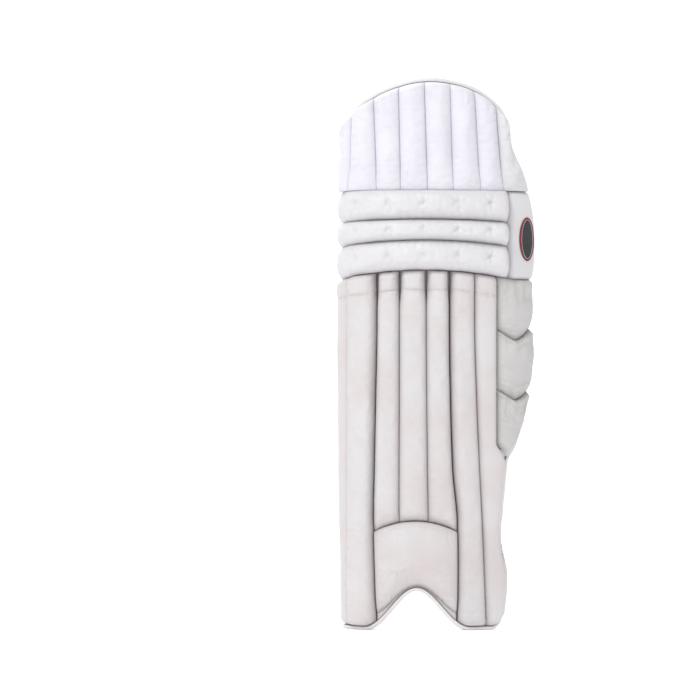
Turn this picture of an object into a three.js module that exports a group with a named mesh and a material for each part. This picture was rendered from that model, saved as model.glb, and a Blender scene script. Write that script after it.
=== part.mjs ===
import * as THREE from 'three';

// Cricket batting pad for one leg, in millimetres. It stands on the two lobes of its instep flap,
// with +Z up. Its front of padded rolls faces -Y, the leg and the straps are on its +Y side, and
// the wing that covers the outer side of the calf is on its +X side.

// Heights, from the floor up
const archRise = 54;
const instepLength = 82;
const shinLength = 314;
const lowerRollHeight = 37;
const middleRollHeight = 26;
const upperRollHeight = 36;
const topHatHeight = 141;

// The level section: a wide front, a tight inner corner and a wing that curls round the calf
const frontRadius = 260;
const cornerGirth = 69;
const cornerRadius = 35;
const cornerArc = 42;
const wingGirth = 92;
const wingRadius = 80;
const innerGirth = 120;
const outerGirth = 146;
const padBow = 12;

// Widths of the rolls and rises of the padding above the backing
const rollGirth = 30.5;
const shinRollRise = 20;
const edgeRollRise = 14;
const kneeRollRise = 26;
const topHatRise = 14;
const wingRise = 15;
const sidePanelRise = 13;
const instepRise = 20;
const bolsterRise = 24;
const centreStripRise = 9;
const kneeLiningRise = 8;
const topLiningRise = 9;
const lobeLiningRise = 6;
const wallLiningRise = 5;
const pillowEdge = 4.5;
const backingThickness = 3;

// Seams, corners and the welt round the rim
const seat = 0.7;
const liningSeat = 0.95;
const topLiningSeat = 1.3;
const seamGap = 0.8;
const rimInset = 1.6;
const bindingWidth = 4.4;
const bindingLip = 3;
const footLip = 13;
const bindingBack = 6;
const innerCorner = 12;
const outerCorner = 16;
const archCentre = -9;
const archHalfWidth = 64;
const instepSag = 14;
const kneeSag = 12;
const creaseDrop = 25;
const creaseDepth = 0.35;
const wingFootRise = 76;
const lowerChevronRise = 166;
const upperChevronRise = 241;
const chevronDepth = 15;
const chevronTip = 0.4;
const chevronRound = 0.08;
const panelSeam = 103;
const liningEdge = 97;
const shoulderDrop = 78;
const outerShoulderDrop = 68;
const crownShift = 6;

// Straps, loops and the padded wrap behind the knee
const strapWidth = 51;
const kneeStrapWidth = 31;
const strapThickness = 2.5;
const wrapThickness = 7;
const wrapWidth = 94;
const wrapSlant = 11;
const strapReach = 48;
const strapInset = 7;
const strapLean = 62;
const ankleStrapRise = 15;
const calfStrapRise = 203;
const kneeStrapRise = 18;
const wrapRise = 52;
const loopHeight = 60;
const kneeLoopHeight = 40;
const loopWidth = 22;
const loopBar = 4;
const loopThickness = 3.6;
const loopRound = 4;
const turnRadius = 4.6;
const anchorReturn = 15;
const tabSplit = 20;

const instepTop = archRise + instepLength;
const kneeFoot = instepTop + shinLength;
const lowerRollTop = kneeFoot + lowerRollHeight;
const middleRollTop = lowerRollTop + middleRollHeight;
const kneeTop = middleRollTop + upperRollHeight;
const padTop = kneeTop + topHatHeight;
const rimFoot = bindingWidth + seat;
const ankleStrapHeight = instepTop + ankleStrapRise;
const calfStrapHeight = instepTop + calfStrapRise;
const kneeStrapHeight = kneeFoot + kneeStrapRise;
const wrapHeight = kneeFoot + wrapRise;

// Levels count the parts of the pad: 0 at the floor, 1 at the instep seam, 2 at the foot of the
// knee rolls, 3 at their top and 4 at the top of the pad.
const levelHeights = [0, instepTop, kneeFoot, kneeTop, padTop];

// Half widths of the pad, measured round its section, as shares of innerGirth and outerGirth
const outlineRows = [
  { level: 0.0, inner: 0.975, outer: 0.66 },
  { level: 0.2, inner: 0.98, outer: 0.69 },
  { level: 0.5, inner: 0.985, outer: 0.71 },
  { level: 0.82, inner: 0.99, outer: 0.645 },
  { level: 1.05, inner: 0.99, outer: 0.665 },
  { level: 1.2, inner: 1.0, outer: 0.7 },
  { level: 1.25, inner: 1.0, outer: 0.72 },
  { level: 1.31, inner: 1.0, outer: 0.805 },
  { level: 1.37, inner: 1.0, outer: 0.85 },
  { level: 1.48, inner: 1.0, outer: 0.92 },
  { level: 1.53, inner: 1.0, outer: 0.935 },
  { level: 1.6, inner: 1.0, outer: 0.97 },
  { level: 1.7, inner: 1.0, outer: 0.99 },
  { level: 1.78, inner: 1.0, outer: 0.965 },
  { level: 1.85, inner: 1.0, outer: 0.975 },
  { level: 1.95, inner: 1.0, outer: 0.975 },
  { level: 2.1, inner: 1.01, outer: 1.01 },
  { level: 2.4, inner: 1.02, outer: 1.02 },
  { level: 2.7, inner: 1.02, outer: 1.0 },
  { level: 3.0, inner: 1.0, outer: 0.92 },
  { level: 3.2, inner: 0.98, outer: 0.82 },
  { level: 3.45, inner: 0.93, outer: 0.71 },
  { level: 3.55, inner: 0.92, outer: 0.68 },
];

// How far the section stands forward, as a share of padBow, and how tightly it curls
const bodyRows = [
  { level: 0.0, forward: 0.3, curl: 1.12 },
  { level: 0.6, forward: 0.15, curl: 1.08 },
  { level: 1.2, forward: 0.0, curl: 1.02 },
  { level: 1.5, forward: 0.08, curl: 1.0 },
  { level: 1.8, forward: 0.35, curl: 1.0 },
  { level: 2.15, forward: 0.72, curl: 1.01 },
  { level: 2.6, forward: 0.93, curl: 1.03 },
  { level: 3.0, forward: 1.0, curl: 1.05 },
  { level: 3.4, forward: 0.8, curl: 1.08 },
  { level: 4.0, forward: 0.0, curl: 1.12 },
];

// Where the seams between the shin rolls run, in widths of a roll from the pad's middle
const shinSeamRows = [
  { level: 0.0, one: -2.97, two: -1.9, three: -0.98, four: 0.16, five: 1.33, six: 2.47, seven: 2.91 },
  { level: 1.0, one: -2.97, two: -2.03, three: -0.98, four: 0.16, five: 1.33, six: 2.3, seven: 2.91 },
  { level: 1.2, one: -2.97, two: -2.0, three: -0.98, four: 0.13, five: 1.15, six: 2.2, seven: 2.91 },
  { level: 1.5, one: -2.97, two: -1.94, three: -0.97, four: 0.1, five: 1.05, six: 2.07, seven: 2.91 },
  { level: 1.75, one: -2.97, two: -1.89, three: -0.97, four: 0.08, five: 1.01, six: 1.99, seven: 2.91 },
  { level: 2.0, one: -2.97, two: -1.89, three: -0.97, four: 0.08, five: 1.01, six: 1.99, seven: 2.91 },
];

// The same for the seams between the channels of the top hat
const topSeamRows = [
  { level: 3.0, one: -2.97, two: -1.88, three: -0.93, four: 0.13, five: 1.14, six: 2.24, seven: 3.17 },
  { level: 4.0, one: -2.83, two: -2.05, three: -1.02, four: 0.0, five: 1.02, six: 1.98, seven: 2.83 },
];

const seamNames = ['one', 'two', 'three', 'four', 'five', 'six', 'seven'];

// The seam at the back between the outer bolster and the lining of the wing, in outerGirth
const wingSeamRows = [
  { level: 0.7, outer: 0.47 },
  { level: 1.2, outer: 0.53 },
  { level: 1.4, outer: 0.62 },
  { level: 1.65, outer: 0.664 },
  { level: 3.0, outer: 0.664 },
];

const looks = {
  leather: { color: 0xf1efee, roughness: 0.55, metalness: 0 },
  fabric: { color: 0xf0eff7, roughness: 0.85, metalness: 0 },
  lining: { color: 0xe9e6f5, roughness: 0.9, metalness: 0 },
  instep: { color: 0xded6cd, roughness: 0.6, metalness: 0 },
  board: { color: 0xe6e3e3, roughness: 0.9, metalness: 0 },
  welt: { color: 0xe9e6e5, roughness: 0.6, metalness: 0 },
  webbing: { color: 0xe8e5e6, roughness: 0.85, metalness: 0 },
  plastic: { color: 0xefedf0, roughness: 0.35, metalness: 0 },
};

const pad = new THREE.Group();

function addPiece(name, geometry, look) {
  const piece = new THREE.Mesh(geometry, new THREE.MeshStandardMaterial(looks[look]));
  piece.name = name;
  pad.add(piece);
}

function heightOf(level) {
  const part = Math.min(Math.floor(level), levelHeights.length - 2);
  return THREE.MathUtils.lerp(levelHeights[part], levelHeights[part + 1], level - part);
}

// A table's column at a height, as a smooth curve through its rows
function follow(rows, column, height) {
  const last = rows.length - 1;
  const heights = rows.map((row) => heightOf(row.level));
  if (height <= heights[0]) return rows[0][column];
  if (height >= heights[last]) return rows[last][column];
  const low = heights.findIndex((value) => value > height) - 1;
  const slope = (row) => {
    const before = Math.max(row - 1, 0);
    const after = Math.min(row + 1, last);
    return (rows[after][column] - rows[before][column]) / (heights[after] - heights[before]);
  };
  const span = heights[low + 1] - heights[low];
  const share = (height - heights[low]) / span;
  const rest = 1 - share;
  return rest * rest * (1 + 2 * share) * rows[low][column]
    + share * share * (3 - 2 * share) * rows[low + 1][column]
    + share * rest * rest * span * slope(low)
    - share * share * rest * span * slope(low + 1);
}

const innerEdge = (height) => innerGirth * follow(outlineRows, 'inner', height);
const outerEdge = (height) => outerGirth * follow(outlineRows, 'outer', height);

// Half of the level section, from the pad's middle outwards: arcs, then a straight end
function walk(arcs, girth, curl) {
  const spot = { x: 0, y: 0, turn: 0 };
  let left = girth;
  for (const arc of arcs) {
    const radius = arc.radius / curl;
    const angle = Math.min(left, arc.length) / radius;
    spot.x += radius * (Math.sin(spot.turn + angle) - Math.sin(spot.turn));
    spot.y += radius * (Math.cos(spot.turn) - Math.cos(spot.turn + angle));
    spot.turn += angle;
    left -= Math.min(left, arc.length);
  }
  spot.x += left * Math.cos(spot.turn);
  spot.y += left * Math.sin(spot.turn);
  return spot;
}

const innerArcs = [
  { length: cornerGirth, radius: frontRadius },
  { length: cornerArc, radius: cornerRadius },
];
const outerArcs = [
  { length: wingGirth, radius: frontRadius },
  { length: 2 * outerGirth, radius: wingRadius },
];

// The backing's front face: a girth, negative on the inner side, a height, and a distance out
// from the face. The direction is the way round the section, towards that side's edge.
function padSpot(girth, height, out) {
  const side = girth < 0 ? -1 : 1;
  const arcs = girth < 0 ? innerArcs : outerArcs;
  const spot = walk(arcs, Math.abs(girth), follow(bodyRows, 'curl', height));
  const forward = padBow * follow(bodyRows, 'forward', height);
  return {
    point: new THREE.Vector3(
      side * (spot.x + out * Math.sin(spot.turn)),
      spot.y - out * Math.cos(spot.turn) - forward,
      height,
    ),
    direction: new THREE.Vector2(side * Math.cos(spot.turn), Math.sin(spot.turn)),
  };
}

// The pad's lower edge: two lobes with rounded corners and the arch over the foot between them
function lowerEdge(girth) {
  const archShare = Math.min(Math.abs(girth - archCentre) / archHalfWidth, 1);
  const arch = (archRise - rimFoot) * 0.5 * (1 + Math.cos(Math.PI * archShare));
  const edge = girth < 0 ? innerEdge(0) : outerEdge(0);
  const corner = girth < 0 ? innerCorner : outerCorner;
  const bend = THREE.MathUtils.clamp((Math.abs(girth) - edge + corner) / corner, 0, 1);
  return rimFoot + arch + corner * (1 - Math.sqrt(1 - bend * bend));
}

// The pad's upper edge: the arch of the top hat, down to a shoulder on each side
function upperEdge(girth) {
  const side = girth < crownShift ? -1 : 1;
  const shoulder = side < 0 ? innerEdge(padTop) : outerEdge(padTop);
  const drop = side < 0 ? shoulderDrop : outerShoulderDrop;
  const fullness = side < 0 ? 1.7 : 2;
  const share = Math.min((girth - crownShift) / (side * shoulder - crownShift), 1);
  const arch = (1 - share ** fullness) ** (1 / fullness);
  return padTop - rimFoot - drop * (1 - arch);
}

// A region of the pad between two side lines and two end lines, as a function of two shares
function region(left, right, foot, head) {
  return (across, up) => {
    let height = padTop / 2;
    let girth = 0;
    for (let pass = 0; pass < 12; pass += 1) {
      girth = THREE.MathUtils.lerp(left(height), right(height), across);
      height = THREE.MathUtils.lerp(foot(girth), head(girth), up);
    }
    return { girth, height };
  };
}

// A closed solid from its faces, turned so that they look outwards
function closedSolid(points, faces) {
  let volume = 0;
  for (const [a, b, c] of faces) {
    volume += points[a].dot(new THREE.Vector3().crossVectors(points[b], points[c]));
  }
  const turned = volume < 0 ? faces.map(([a, b, c]) => [a, c, b]) : faces;
  const geometry = new THREE.BufferGeometry().setFromPoints(points);
  geometry.setIndex(turned.flat());
  geometry.computeVertexNormals();
  return geometry;
}

// A solid over a region. One face lies at the distance base from the backing's front face, and
// the other one stands the rise above it, outwards where side is 1 and to the leg where it is -1.
function padding(place, side, base, rise, acrossShares, upShares) {
  const points = [];
  for (const layer of [0, 1]) {
    for (const up of upShares) {
      for (const across of acrossShares) {
        const { girth, height } = place(across, up);
        const out = base + side * layer * rise(across, up, height, girth);
        points.push(padSpot(girth, height, out).point);
      }
    }
  }
  const columns = acrossShares.length;
  const rows = upShares.length;
  const at = (layer, column, row) => (layer * rows + row) * columns + column;
  const faces = [];
  const quad = (a, b, c, d) => faces.push([a, b, c], [a, c, d]);
  for (let row = 0; row < rows - 1; row += 1) {
    for (let column = 0; column < columns - 1; column += 1) {
      quad(at(1, column, row), at(1, column + 1, row), at(1, column + 1, row + 1), at(1, column, row + 1));
      quad(at(0, column, row), at(0, column, row + 1), at(0, column + 1, row + 1), at(0, column + 1, row));
    }
    quad(at(0, 0, row), at(1, 0, row), at(1, 0, row + 1), at(0, 0, row + 1));
    const end = columns - 1;
    quad(at(0, end, row), at(0, end, row + 1), at(1, end, row + 1), at(1, end, row));
  }
  for (let column = 0; column < columns - 1; column += 1) {
    quad(at(0, column, 0), at(0, column + 1, 0), at(1, column + 1, 0), at(1, column, 0));
    const end = rows - 1;
    quad(at(0, column, end), at(1, column, end), at(1, column + 1, end), at(0, column + 1, end));
  }
  return closedSolid(points, faces);
}

// A closed sweep through sections of four corners each
function sweep(sections) {
  const points = sections.flat();
  const faces = [];
  for (let step = 0; step < sections.length - 1; step += 1) {
    for (let corner = 0; corner < 4; corner += 1) {
      const next = (corner + 1) % 4;
      const a = 4 * step + corner;
      const b = 4 * step + next;
      faces.push([a, b, b + 4], [a, b + 4, a + 4]);
    }
  }
  const end = points.length - 4;
  faces.push([0, 2, 1], [0, 3, 2], [end, end + 1, end + 2], [end, end + 2, end + 3]);
  return closedSolid(points, faces);
}

// The height of a stuffed roll across a seam-to-seam width, 1 in its middle
const bulge = (share, power) => Math.max(1 - Math.abs(2 * share - 1) ** power, 0) ** (1 / power);

// Stuffing between seams on all four sides: pillowEdge thick at the seams, the full rise inside
function stuffed(rise, endPower) {
  return (across, up) => {
    const inside = bulge(across, 2.4) * bulge(up, endPower);
    return pillowEdge + (rise - pillowEdge) * inside;
  };
}

const rollAcross = [0, 0.15, 0.5, 0.85, 1];
const pillowUp = [0, 0.1, 0.3, 0.7, 0.9, 1];

// Shares across a wide region that follow the section: close at the inner corner, wider apart on
// the wing and on the front
function girthShares(left, right) {
  const steps = [];
  let girth = left;
  while (girth < right - 1) {
    steps.push((girth - left) / (right - left));
    if (girth < -cornerGirth) girth += cornerArc / 6;
    else if (girth < wingGirth) girth += rollGirth * 0.7;
    else girth += wingRadius / 7;
  }
  steps.push(1);
  return steps;
}

// Backing board and the welt round its rim
const leftRim = (height) => -innerEdge(height);
const rightRim = outerEdge;
const backingPlace = region(leftRim, rightRim, lowerEdge, upperEdge);
const backingAcross = [
  0, 0.012, 0.04, 0.075, 0.105, 0.135, 0.165, 0.2, 0.27, 0.35, 0.43, 0.51, 0.59, 0.67, 0.75,
  0.8, 0.84, 0.88, 0.915, 0.95, 0.98, 1,
];
const backingUp = [
  0, 0.03, 0.08, 0.14, 0.2, 0.25, 0.285, 0.305, 0.325, 0.345, 0.375, 0.43, 0.49, 0.55, 0.61, 0.67,
  0.73, 0.785, 0.83, 0.86, 0.89, 0.93, 0.97, 1,
];
const backing = padding(backingPlace, -1, 0, () => backingThickness, backingAcross, backingUp);
addPiece('backing', backing, 'board');

// Points of the rim, a welt's width outside it, with the four corners of the welt at each
function weltSections(spots, lip) {
  return spots.map((spot, index) => {
    const before = spots[Math.max(index - 1, 0)];
    const after = spots[Math.min(index + 1, spots.length - 1)];
    const way = new THREE.Vector2(after.girth - before.girth, after.height - before.height);
    const outward = new THREE.Vector2(way.y, -way.x).normalize();
    const corner = (distance, out) => {
      const girth = spot.girth + outward.x * distance;
      const height = spot.height + outward.y * distance;
      return padSpot(girth, height, out).point;
    };
    return [
      corner(seat, lip),
      corner(seat + bindingWidth, lip),
      corner(seat + bindingWidth, -bindingBack),
      corner(seat, -bindingBack),
    ];
  });
}

const footSpots = backingAcross.map((across) => backingPlace(across, 0));
const sideUp = [seat / padTop * 2, ...backingUp.slice(1)];
const sideSpots = [
  ...sideUp.map((up) => backingPlace(1, up)),
  ...backingAcross.slice(1, -1).reverse().map((across) => backingPlace(across, 1)),
  ...sideUp.slice().reverse().map((up) => backingPlace(0, up)),
];
addPiece('foot_binding', sweep(weltSections(footSpots, footLip)), 'welt');
addPiece('edge_binding', sweep(weltSections(sideSpots, bindingLip)), 'welt');

// Shin rolls. The outer ones run down to the floor, and the middle three end at the instep pad.
const shinSeam = (index) => {
  if (index === 0) return (height) => rimInset - innerEdge(height);
  if (index === 7) {
    return (height) => {
      const wingFoot = instepTop + wingFootRise;
      const low = THREE.MathUtils.smoothstep(height, wingFoot - 6, wingFoot + 22);
      const seam = rollGirth * follow(shinSeamRows, 'seven', height);
      return THREE.MathUtils.lerp(outerEdge(height) - rimInset, seam, low);
    };
  }
  return (height) => rollGirth * follow(shinSeamRows, seamNames[index - 1], height);
};

const kneeLine = (girth) => {
  const share = Math.min(Math.abs(girth) / (3.6 * rollGirth), 1);
  return kneeFoot - kneeSag * share * share;
};
const instepLine = (girth) => {
  const middle = rollGirth * -0.35;
  const share = Math.min(Math.abs(girth - middle) / (1.7 * rollGirth), 1);
  return instepTop - instepSag * share * share;
};
const soleLine = (girth) => lowerEdge(girth) + rimInset;

const shinUp = [0, 0.03, 0.14, 0.32, 0.5, 0.68, 0.86, 0.92, 0.96, 1];
const lastUp = [
  0, 0.03, 0.08, 0.14, 0.2, 0.26, 0.33, 0.42, 0.468, 0.479, 0.49, 0.501, 0.512, 0.526, 0.6, 0.76, 0.88,
  0.925, 0.96, 1,
];
for (let roll = 1; roll <= 7; roll += 1) {
  const overInstep = roll >= 3 && roll <= 5;
  const left = shinSeam(roll - 1);
  const right = shinSeam(roll);
  const place = region(
    (height) => left(height) + (roll === 1 ? 0 : seamGap / 2),
    (height) => right(height) - (roll === 7 ? seamGap : seamGap / 2),
    (girth) => (overInstep ? instepLine(girth) + seamGap / 2 : soleLine(girth)),
    (girth) => kneeLine(girth) - seamGap / 2,
  );
  const peak = roll === 1 ? edgeRollRise : shinRollRise;
  const rise = (across, up, height) => {
    const crease = Math.exp(-(((height - kneeFoot + creaseDrop) / 8) ** 2));
    return stuffed(peak, 14)(across, up) * (1 - creaseDepth * crease * bulge(across, 4));
  };
  const upShares = roll === 7 ? lastUp : shinUp;
  addPiece(`shin_roll_${roll}`, padding(place, 1, seat, rise, rollAcross, upShares), 'leather');
}

// Instep pad, between the second and fifth seams, over the arch
const instepPlace = region(
  (height) => shinSeam(2)(height) + seamGap / 2,
  (height) => shinSeam(5)(height) - seamGap / 2,
  (girth) => {
    const share = Math.min(Math.abs(girth - archCentre) / archHalfWidth, 1);
    return soleLine(girth) + instepSag * share * share;
  },
  (girth) => instepLine(girth) - seamGap / 2,
);
const instepShares = [0, 0.06, 0.2, 0.35, 0.5, 0.65, 0.8, 0.94, 1];
const instepPad = padding(instepPlace, 1, seat, stuffed(instepRise, 3), instepShares, pillowUp);
addPiece('instep_pad', instepPad, 'leather');

// Knee rolls: three padded rolls across the knee, and the panel beside them on the outer side
const kneeLines = [
  kneeLine,
  (girth) => lowerRollTop - kneeSag * 0.7 * Math.min(Math.abs(girth) / (3.6 * rollGirth), 1) ** 2,
  (girth) => middleRollTop - kneeSag * 0.3 * Math.min(Math.abs(girth) / (3.6 * rollGirth), 1) ** 2,
  () => kneeTop,
];
const kneeShares = girthShares(-innerGirth, panelSeam);
const kneeUp = [0, 0.15, 0.5, 0.85, 1];
['lower', 'middle', 'upper'].forEach((name, roll) => {
  const place = region(
    (height) => rimInset - innerEdge(height),
    () => panelSeam - seamGap / 2,
    (girth) => kneeLines[roll](girth) + seamGap / 2,
    (girth) => kneeLines[roll + 1](girth) - seamGap / 2,
  );
  const rise = (across, up, height, girth) => {
    const round = THREE.MathUtils.smoothstep(-girth, cornerGirth * 0.85, innerGirth * 0.9);
    const peak = THREE.MathUtils.lerp(kneeRollRise, edgeRollRise, round);
    return pillowEdge + (peak - pillowEdge) * bulge(across, 8) * bulge(up, 2);
  };
  addPiece(`knee_roll_${name}`, padding(place, 1, seat, rise, kneeShares, kneeUp), 'leather');
});

const panelPlace = region(
  () => panelSeam + seamGap / 2,
  (height) => outerEdge(height) - rimInset,
  (girth) => kneeLine(girth) + seamGap / 2,
  () => kneeTop - seamGap / 2,
);
const panelAcross = [0, 0.15, 0.4, 0.65, 0.88, 1];
const sidePanel = padding(panelPlace, 1, seat, stuffed(sidePanelRise, 5), panelAcross, pillowUp);
addPiece('knee_side_panel', sidePanel, 'leather');

// Top hat: eight upright channels above the knee rolls
const topSeam = (index) => {
  if (index === 0) return (height) => rimInset - innerEdge(height);
  if (index === 8) return (height) => outerEdge(height) - rimInset;
  return (height) => rollGirth * follow(topSeamRows, seamNames[index - 1], height);
};
const topUp = [0, 0.08, 0.3, 0.6, 0.85, 0.95, 1];
for (let roll = 1; roll <= 8; roll += 1) {
  const left = topSeam(roll - 1);
  const right = topSeam(roll);
  const place = region(
    (height) => left(height) + (roll === 1 ? 0 : seamGap / 2),
    (height) => right(height) - (roll === 8 ? 0 : seamGap / 2),
    () => kneeTop + seamGap / 2,
    (girth) => upperEdge(girth) - rimInset,
  );
  const channel = padding(place, 1, seat, stuffed(topHatRise, 9), rollAcross, topUp);
  addPiece(`top_hat_roll_${roll}`, channel, 'fabric');
}

// Wing: three quilted sections, parted by chevron seams that point down
const wingLeft = (height) => shinSeam(7)(height - 4 * seamGap) + seamGap / 2;
const wingRight = (height) => outerEdge(height) - rimInset;
const chevron = (height) => (girth) => {
  const share = (girth - wingGirth) / (outerGirth - wingGirth);
  const bend = Math.hypot(share - chevronTip, chevronRound) - chevronRound;
  return height - chevronDepth * (1 - bend / chevronTip);
};
const upperChevron = chevron(instepTop + upperChevronRise);
const lowerChevron = chevron(instepTop + lowerChevronRise);
const wingTip = () => instepTop + wingFootRise + bindingWidth;
const wingUp = [0, 0.05, 0.1, 0.16, 0.24, 0.36, 0.55, 0.8, 0.93, 1];
const wingSections = [
  { name: 'upper', foot: upperChevron, head: kneeLine, upShares: pillowUp },
  { name: 'middle', foot: lowerChevron, head: upperChevron, upShares: pillowUp },
  { name: 'lower', foot: wingTip, head: lowerChevron, upShares: wingUp },
];
const wingAcross = [0, 0.15, 0.32, 0.5, 0.68, 0.85, 1];
for (const section of wingSections) {
  const place = region(
    wingLeft,
    wingRight,
    (girth) => section.foot(girth) + 0.7 * seamGap,
    (girth) => section.head(girth) - 0.7 * seamGap,
  );
  const solid = padding(place, 1, seat, stuffed(wingRise, 4), wingAcross, section.upShares);
  addPiece(`wing_${section.name}`, solid, 'leather');
}

// Linings on the leg side of the backing
const rimMargin = bindingBack + rimInset;
const innerMargin = (height) => rimMargin - innerEdge(height);
const outerMargin = (height) => outerEdge(height) - rimMargin;
const wingSeam = (height) => outerGirth * follow(wingSeamRows, 'outer', height);
const boltTop = (girth) => kneeLine(girth) + 2 * seamGap;
const liningFoot = () => instepTop - 2 * instepSag;

function addLining(name, left, right, foot, head, rise, acrossShares, upShares, look, gap = liningSeat) {
  const place = region(left, right, foot, head);
  addPiece(name, padding(place, -1, -(backingThickness + gap), rise, acrossShares, upShares), look);
}

const stripLeft = () => archCentre * 2.05;
const stripRight = () => rollGirth * 0.54;
const longUp = [0, 0.05, 0.15, 0.35, 0.6, 0.85, 0.95, 1];
addLining(
  'centre_strip',
  (height) => stripLeft(height) + seamGap / 2,
  (height) => stripRight(height) - seamGap / 2,
  liningFoot,
  (girth) => boltTop(girth) - seamGap,
  stuffed(centreStripRise, 20),
  [0, 0.15, 0.85, 1],
  longUp,
  'lining',
);
addLining(
  'bolster_outer',
  (height) => stripRight(height) + seamGap / 2,
  (height) => wingSeam(height) - seamGap / 2,
  liningFoot,
  (girth) => boltTop(girth) - seamGap,
  stuffed(bolsterRise, 5),
  [0, 0.06, 0.2, 0.4, 0.6, 0.8, 0.94, 1],
  [0, 0.05, 0.12, 0.2, 0.28, 0.36, 0.5, 0.67, 0.84, 0.95, 1],
  'lining',
);
addLining(
  'bolster_inner',
  () => seamGap / 2 - liningEdge,
  (height) => stripLeft(height) - seamGap / 2,
  liningFoot,
  (girth) => boltTop(girth) - seamGap,
  stuffed(bolsterRise, 5),
  [0, 0.06, 0.14, 0.23, 0.32, 0.5, 0.7, 0.85, 0.95, 1],
  longUp,
  'lining',
);
addLining(
  'knee_lining',
  () => seamGap / 2 - liningEdge,
  (height) => wingSeam(height) - seamGap / 2,
  boltTop,
  () => kneeTop - seamGap,
  stuffed(kneeLiningRise, 6),
  girthShares(-liningEdge, liningEdge),
  pillowUp,
  'lining',
);
addLining(
  'wing_lining',
  (height) => wingSeam(height) + seamGap / 2,
  outerMargin,
  liningFoot,
  () => kneeTop - seamGap,
  stuffed(wallLiningRise, 12),
  [0, 0.25, 0.5, 0.75, 1],
  [0, 0.08, 0.16, 0.22, 0.25, 0.28, 0.33, 0.4, 0.5, 0.6, 0.7, 0.8, 0.9, 1],
  'lining',
);
addLining(
  'inner_wall_lining',
  innerMargin,
  () => -liningEdge - seamGap / 2,
  liningFoot,
  () => kneeTop - seamGap,
  stuffed(wallLiningRise, 12),
  [0, 0.3, 0.65, 1],
  [0, 0.1, 0.3, 0.5, 0.62, 0.74, 0.87, 1],
  'lining',
);

// Linings of the top hat: two side panels and a centre channel that narrows towards the knee
const channelRows = [
  { level: 3.0, inner: -0.6, outer: 0.82 },
  { level: 4.0, inner: -1.45, outer: 1.65 },
];
const channelLeft = (height) => rollGirth * follow(channelRows, 'inner', height);
const channelRight = (height) => rollGirth * follow(channelRows, 'outer', height);
const topLiningHead = (girth) => upperEdge(girth) - rimMargin;
const topLiningFoot = () => kneeTop + seamGap;
const topLinings = [
  {
    name: 'inner',
    left: innerMargin,
    right: channelLeft,
    shares: [0, 0.05, 0.15, 0.28, 0.4, 0.55, 0.75, 0.92, 1],
  },
  {
    name: 'centre',
    left: channelLeft,
    right: channelRight,
    shares: [0, 0.1, 0.3, 0.5, 0.7, 0.9, 1],
  },
  {
    name: 'outer',
    left: channelRight,
    right: outerMargin,
    shares: [0, 0.12, 0.35, 0.55, 0.7, 0.83, 0.93, 1],
  },
];
for (const panel of topLinings) {
  addLining(
    `top_hat_lining_${panel.name}`,
    (height) => panel.left(height) + seamGap / 2,
    (height) => panel.right(height) - seamGap / 2,
    topLiningFoot,
    topLiningHead,
    stuffed(topLiningRise, 5),
    panel.shares,
    [0, 0.1, 0.3, 0.5, 0.7, 0.88, 1],
    'lining',
    topLiningSeat,
  );
}

// Linings of the instep flap: a middle panel over the arch and a lobe on each side
const lobeSeams = { inner: -1.55 * rollGirth, outer: 1.3 * rollGirth };
const flapHead = (girth) => liningFoot(girth) - seamGap;
const flapFoot = (girth) => lowerEdge(girth) + rimMargin;
const flapLinings = [
  { name: 'lobe_lining_inner', left: innerMargin, right: () => lobeSeams.inner, count: 10 },
  { name: 'instep_lining', left: () => lobeSeams.inner, right: () => lobeSeams.outer, count: 8 },
  { name: 'lobe_lining_outer', left: () => lobeSeams.outer, right: outerMargin, count: 8 },
];
for (const panel of flapLinings) {
  const shares = Array.from({ length: panel.count + 1 }, (unused, step) => step / panel.count);
  addLining(
    panel.name,
    (height) => panel.left(height) + seamGap / 2,
    (height) => panel.right(height) - seamGap / 2,
    flapFoot,
    flapHead,
    stuffed(lobeLiningRise, 6),
    shares,
    [0, 0.2, 0.5, 0.8, 1],
    'instep',
  );
}

// The way of a strap in plan: off the inside of the wing, across the back of the leg and onto
// the inside of the inner wall
function strapWay(height, thickness) {
  const out = -(backingThickness + liningSeat + wallLiningRise + 0.8 * seat + thickness / 2);
  const ends = [outerEdge(height) - rimMargin - strapInset, strapInset + rimMargin - innerEdge(height)];
  const [start, startControl, end, endControl] = ends.flatMap((girth) => {
    const { point, direction } = padSpot(girth, height, out);
    const root = new THREE.Vector2(point.x, point.y);
    const turn = Math.max(Math.asin(direction.y), THREE.MathUtils.degToRad(strapLean));
    const heading = new THREE.Vector2(Math.sign(girth) * Math.cos(turn), Math.sin(turn));
    return [root, root.clone().addScaledVector(heading, strapReach)];
  });
  return new THREE.CubicBezierCurve(start, startControl, endControl, end);
}

// A spot on the way, a lift off it, with its direction and the normal away from the leg
function waySpot(way, share, lift) {
  const direction = way.getTangent(share);
  const normal = new THREE.Vector2(direction.y, -direction.x);
  return { point: way.getPoint(share).addScaledVector(normal, lift), direction, normal };
}

// A flat band that stands on edge along a line of points in plan
function band(line, thickness, foot, head) {
  return sweep(line.map((point, index) => {
    const before = line[Math.max(index - 1, 0)];
    const after = line[Math.min(index + 1, line.length - 1)];
    const direction = after.clone().sub(before).normalize();
    const normal = new THREE.Vector2(direction.y, -direction.x);
    const share = index / (line.length - 1);
    const corner = (side, height) => {
      const spot = point.clone().addScaledVector(normal, side * thickness / 2);
      return new THREE.Vector3(spot.x, spot.y, height);
    };
    return [corner(-1, foot(share)), corner(1, foot(share)), corner(1, head(share)), corner(-1, head(share))];
  }));
}

function line(way, from, to, count, lift) {
  return Array.from({ length: count + 1 }, (unused, step) => {
    const share = THREE.MathUtils.lerp(from, to, step / count);
    return waySpot(way, share, lift(share)).point;
  });
}

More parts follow.
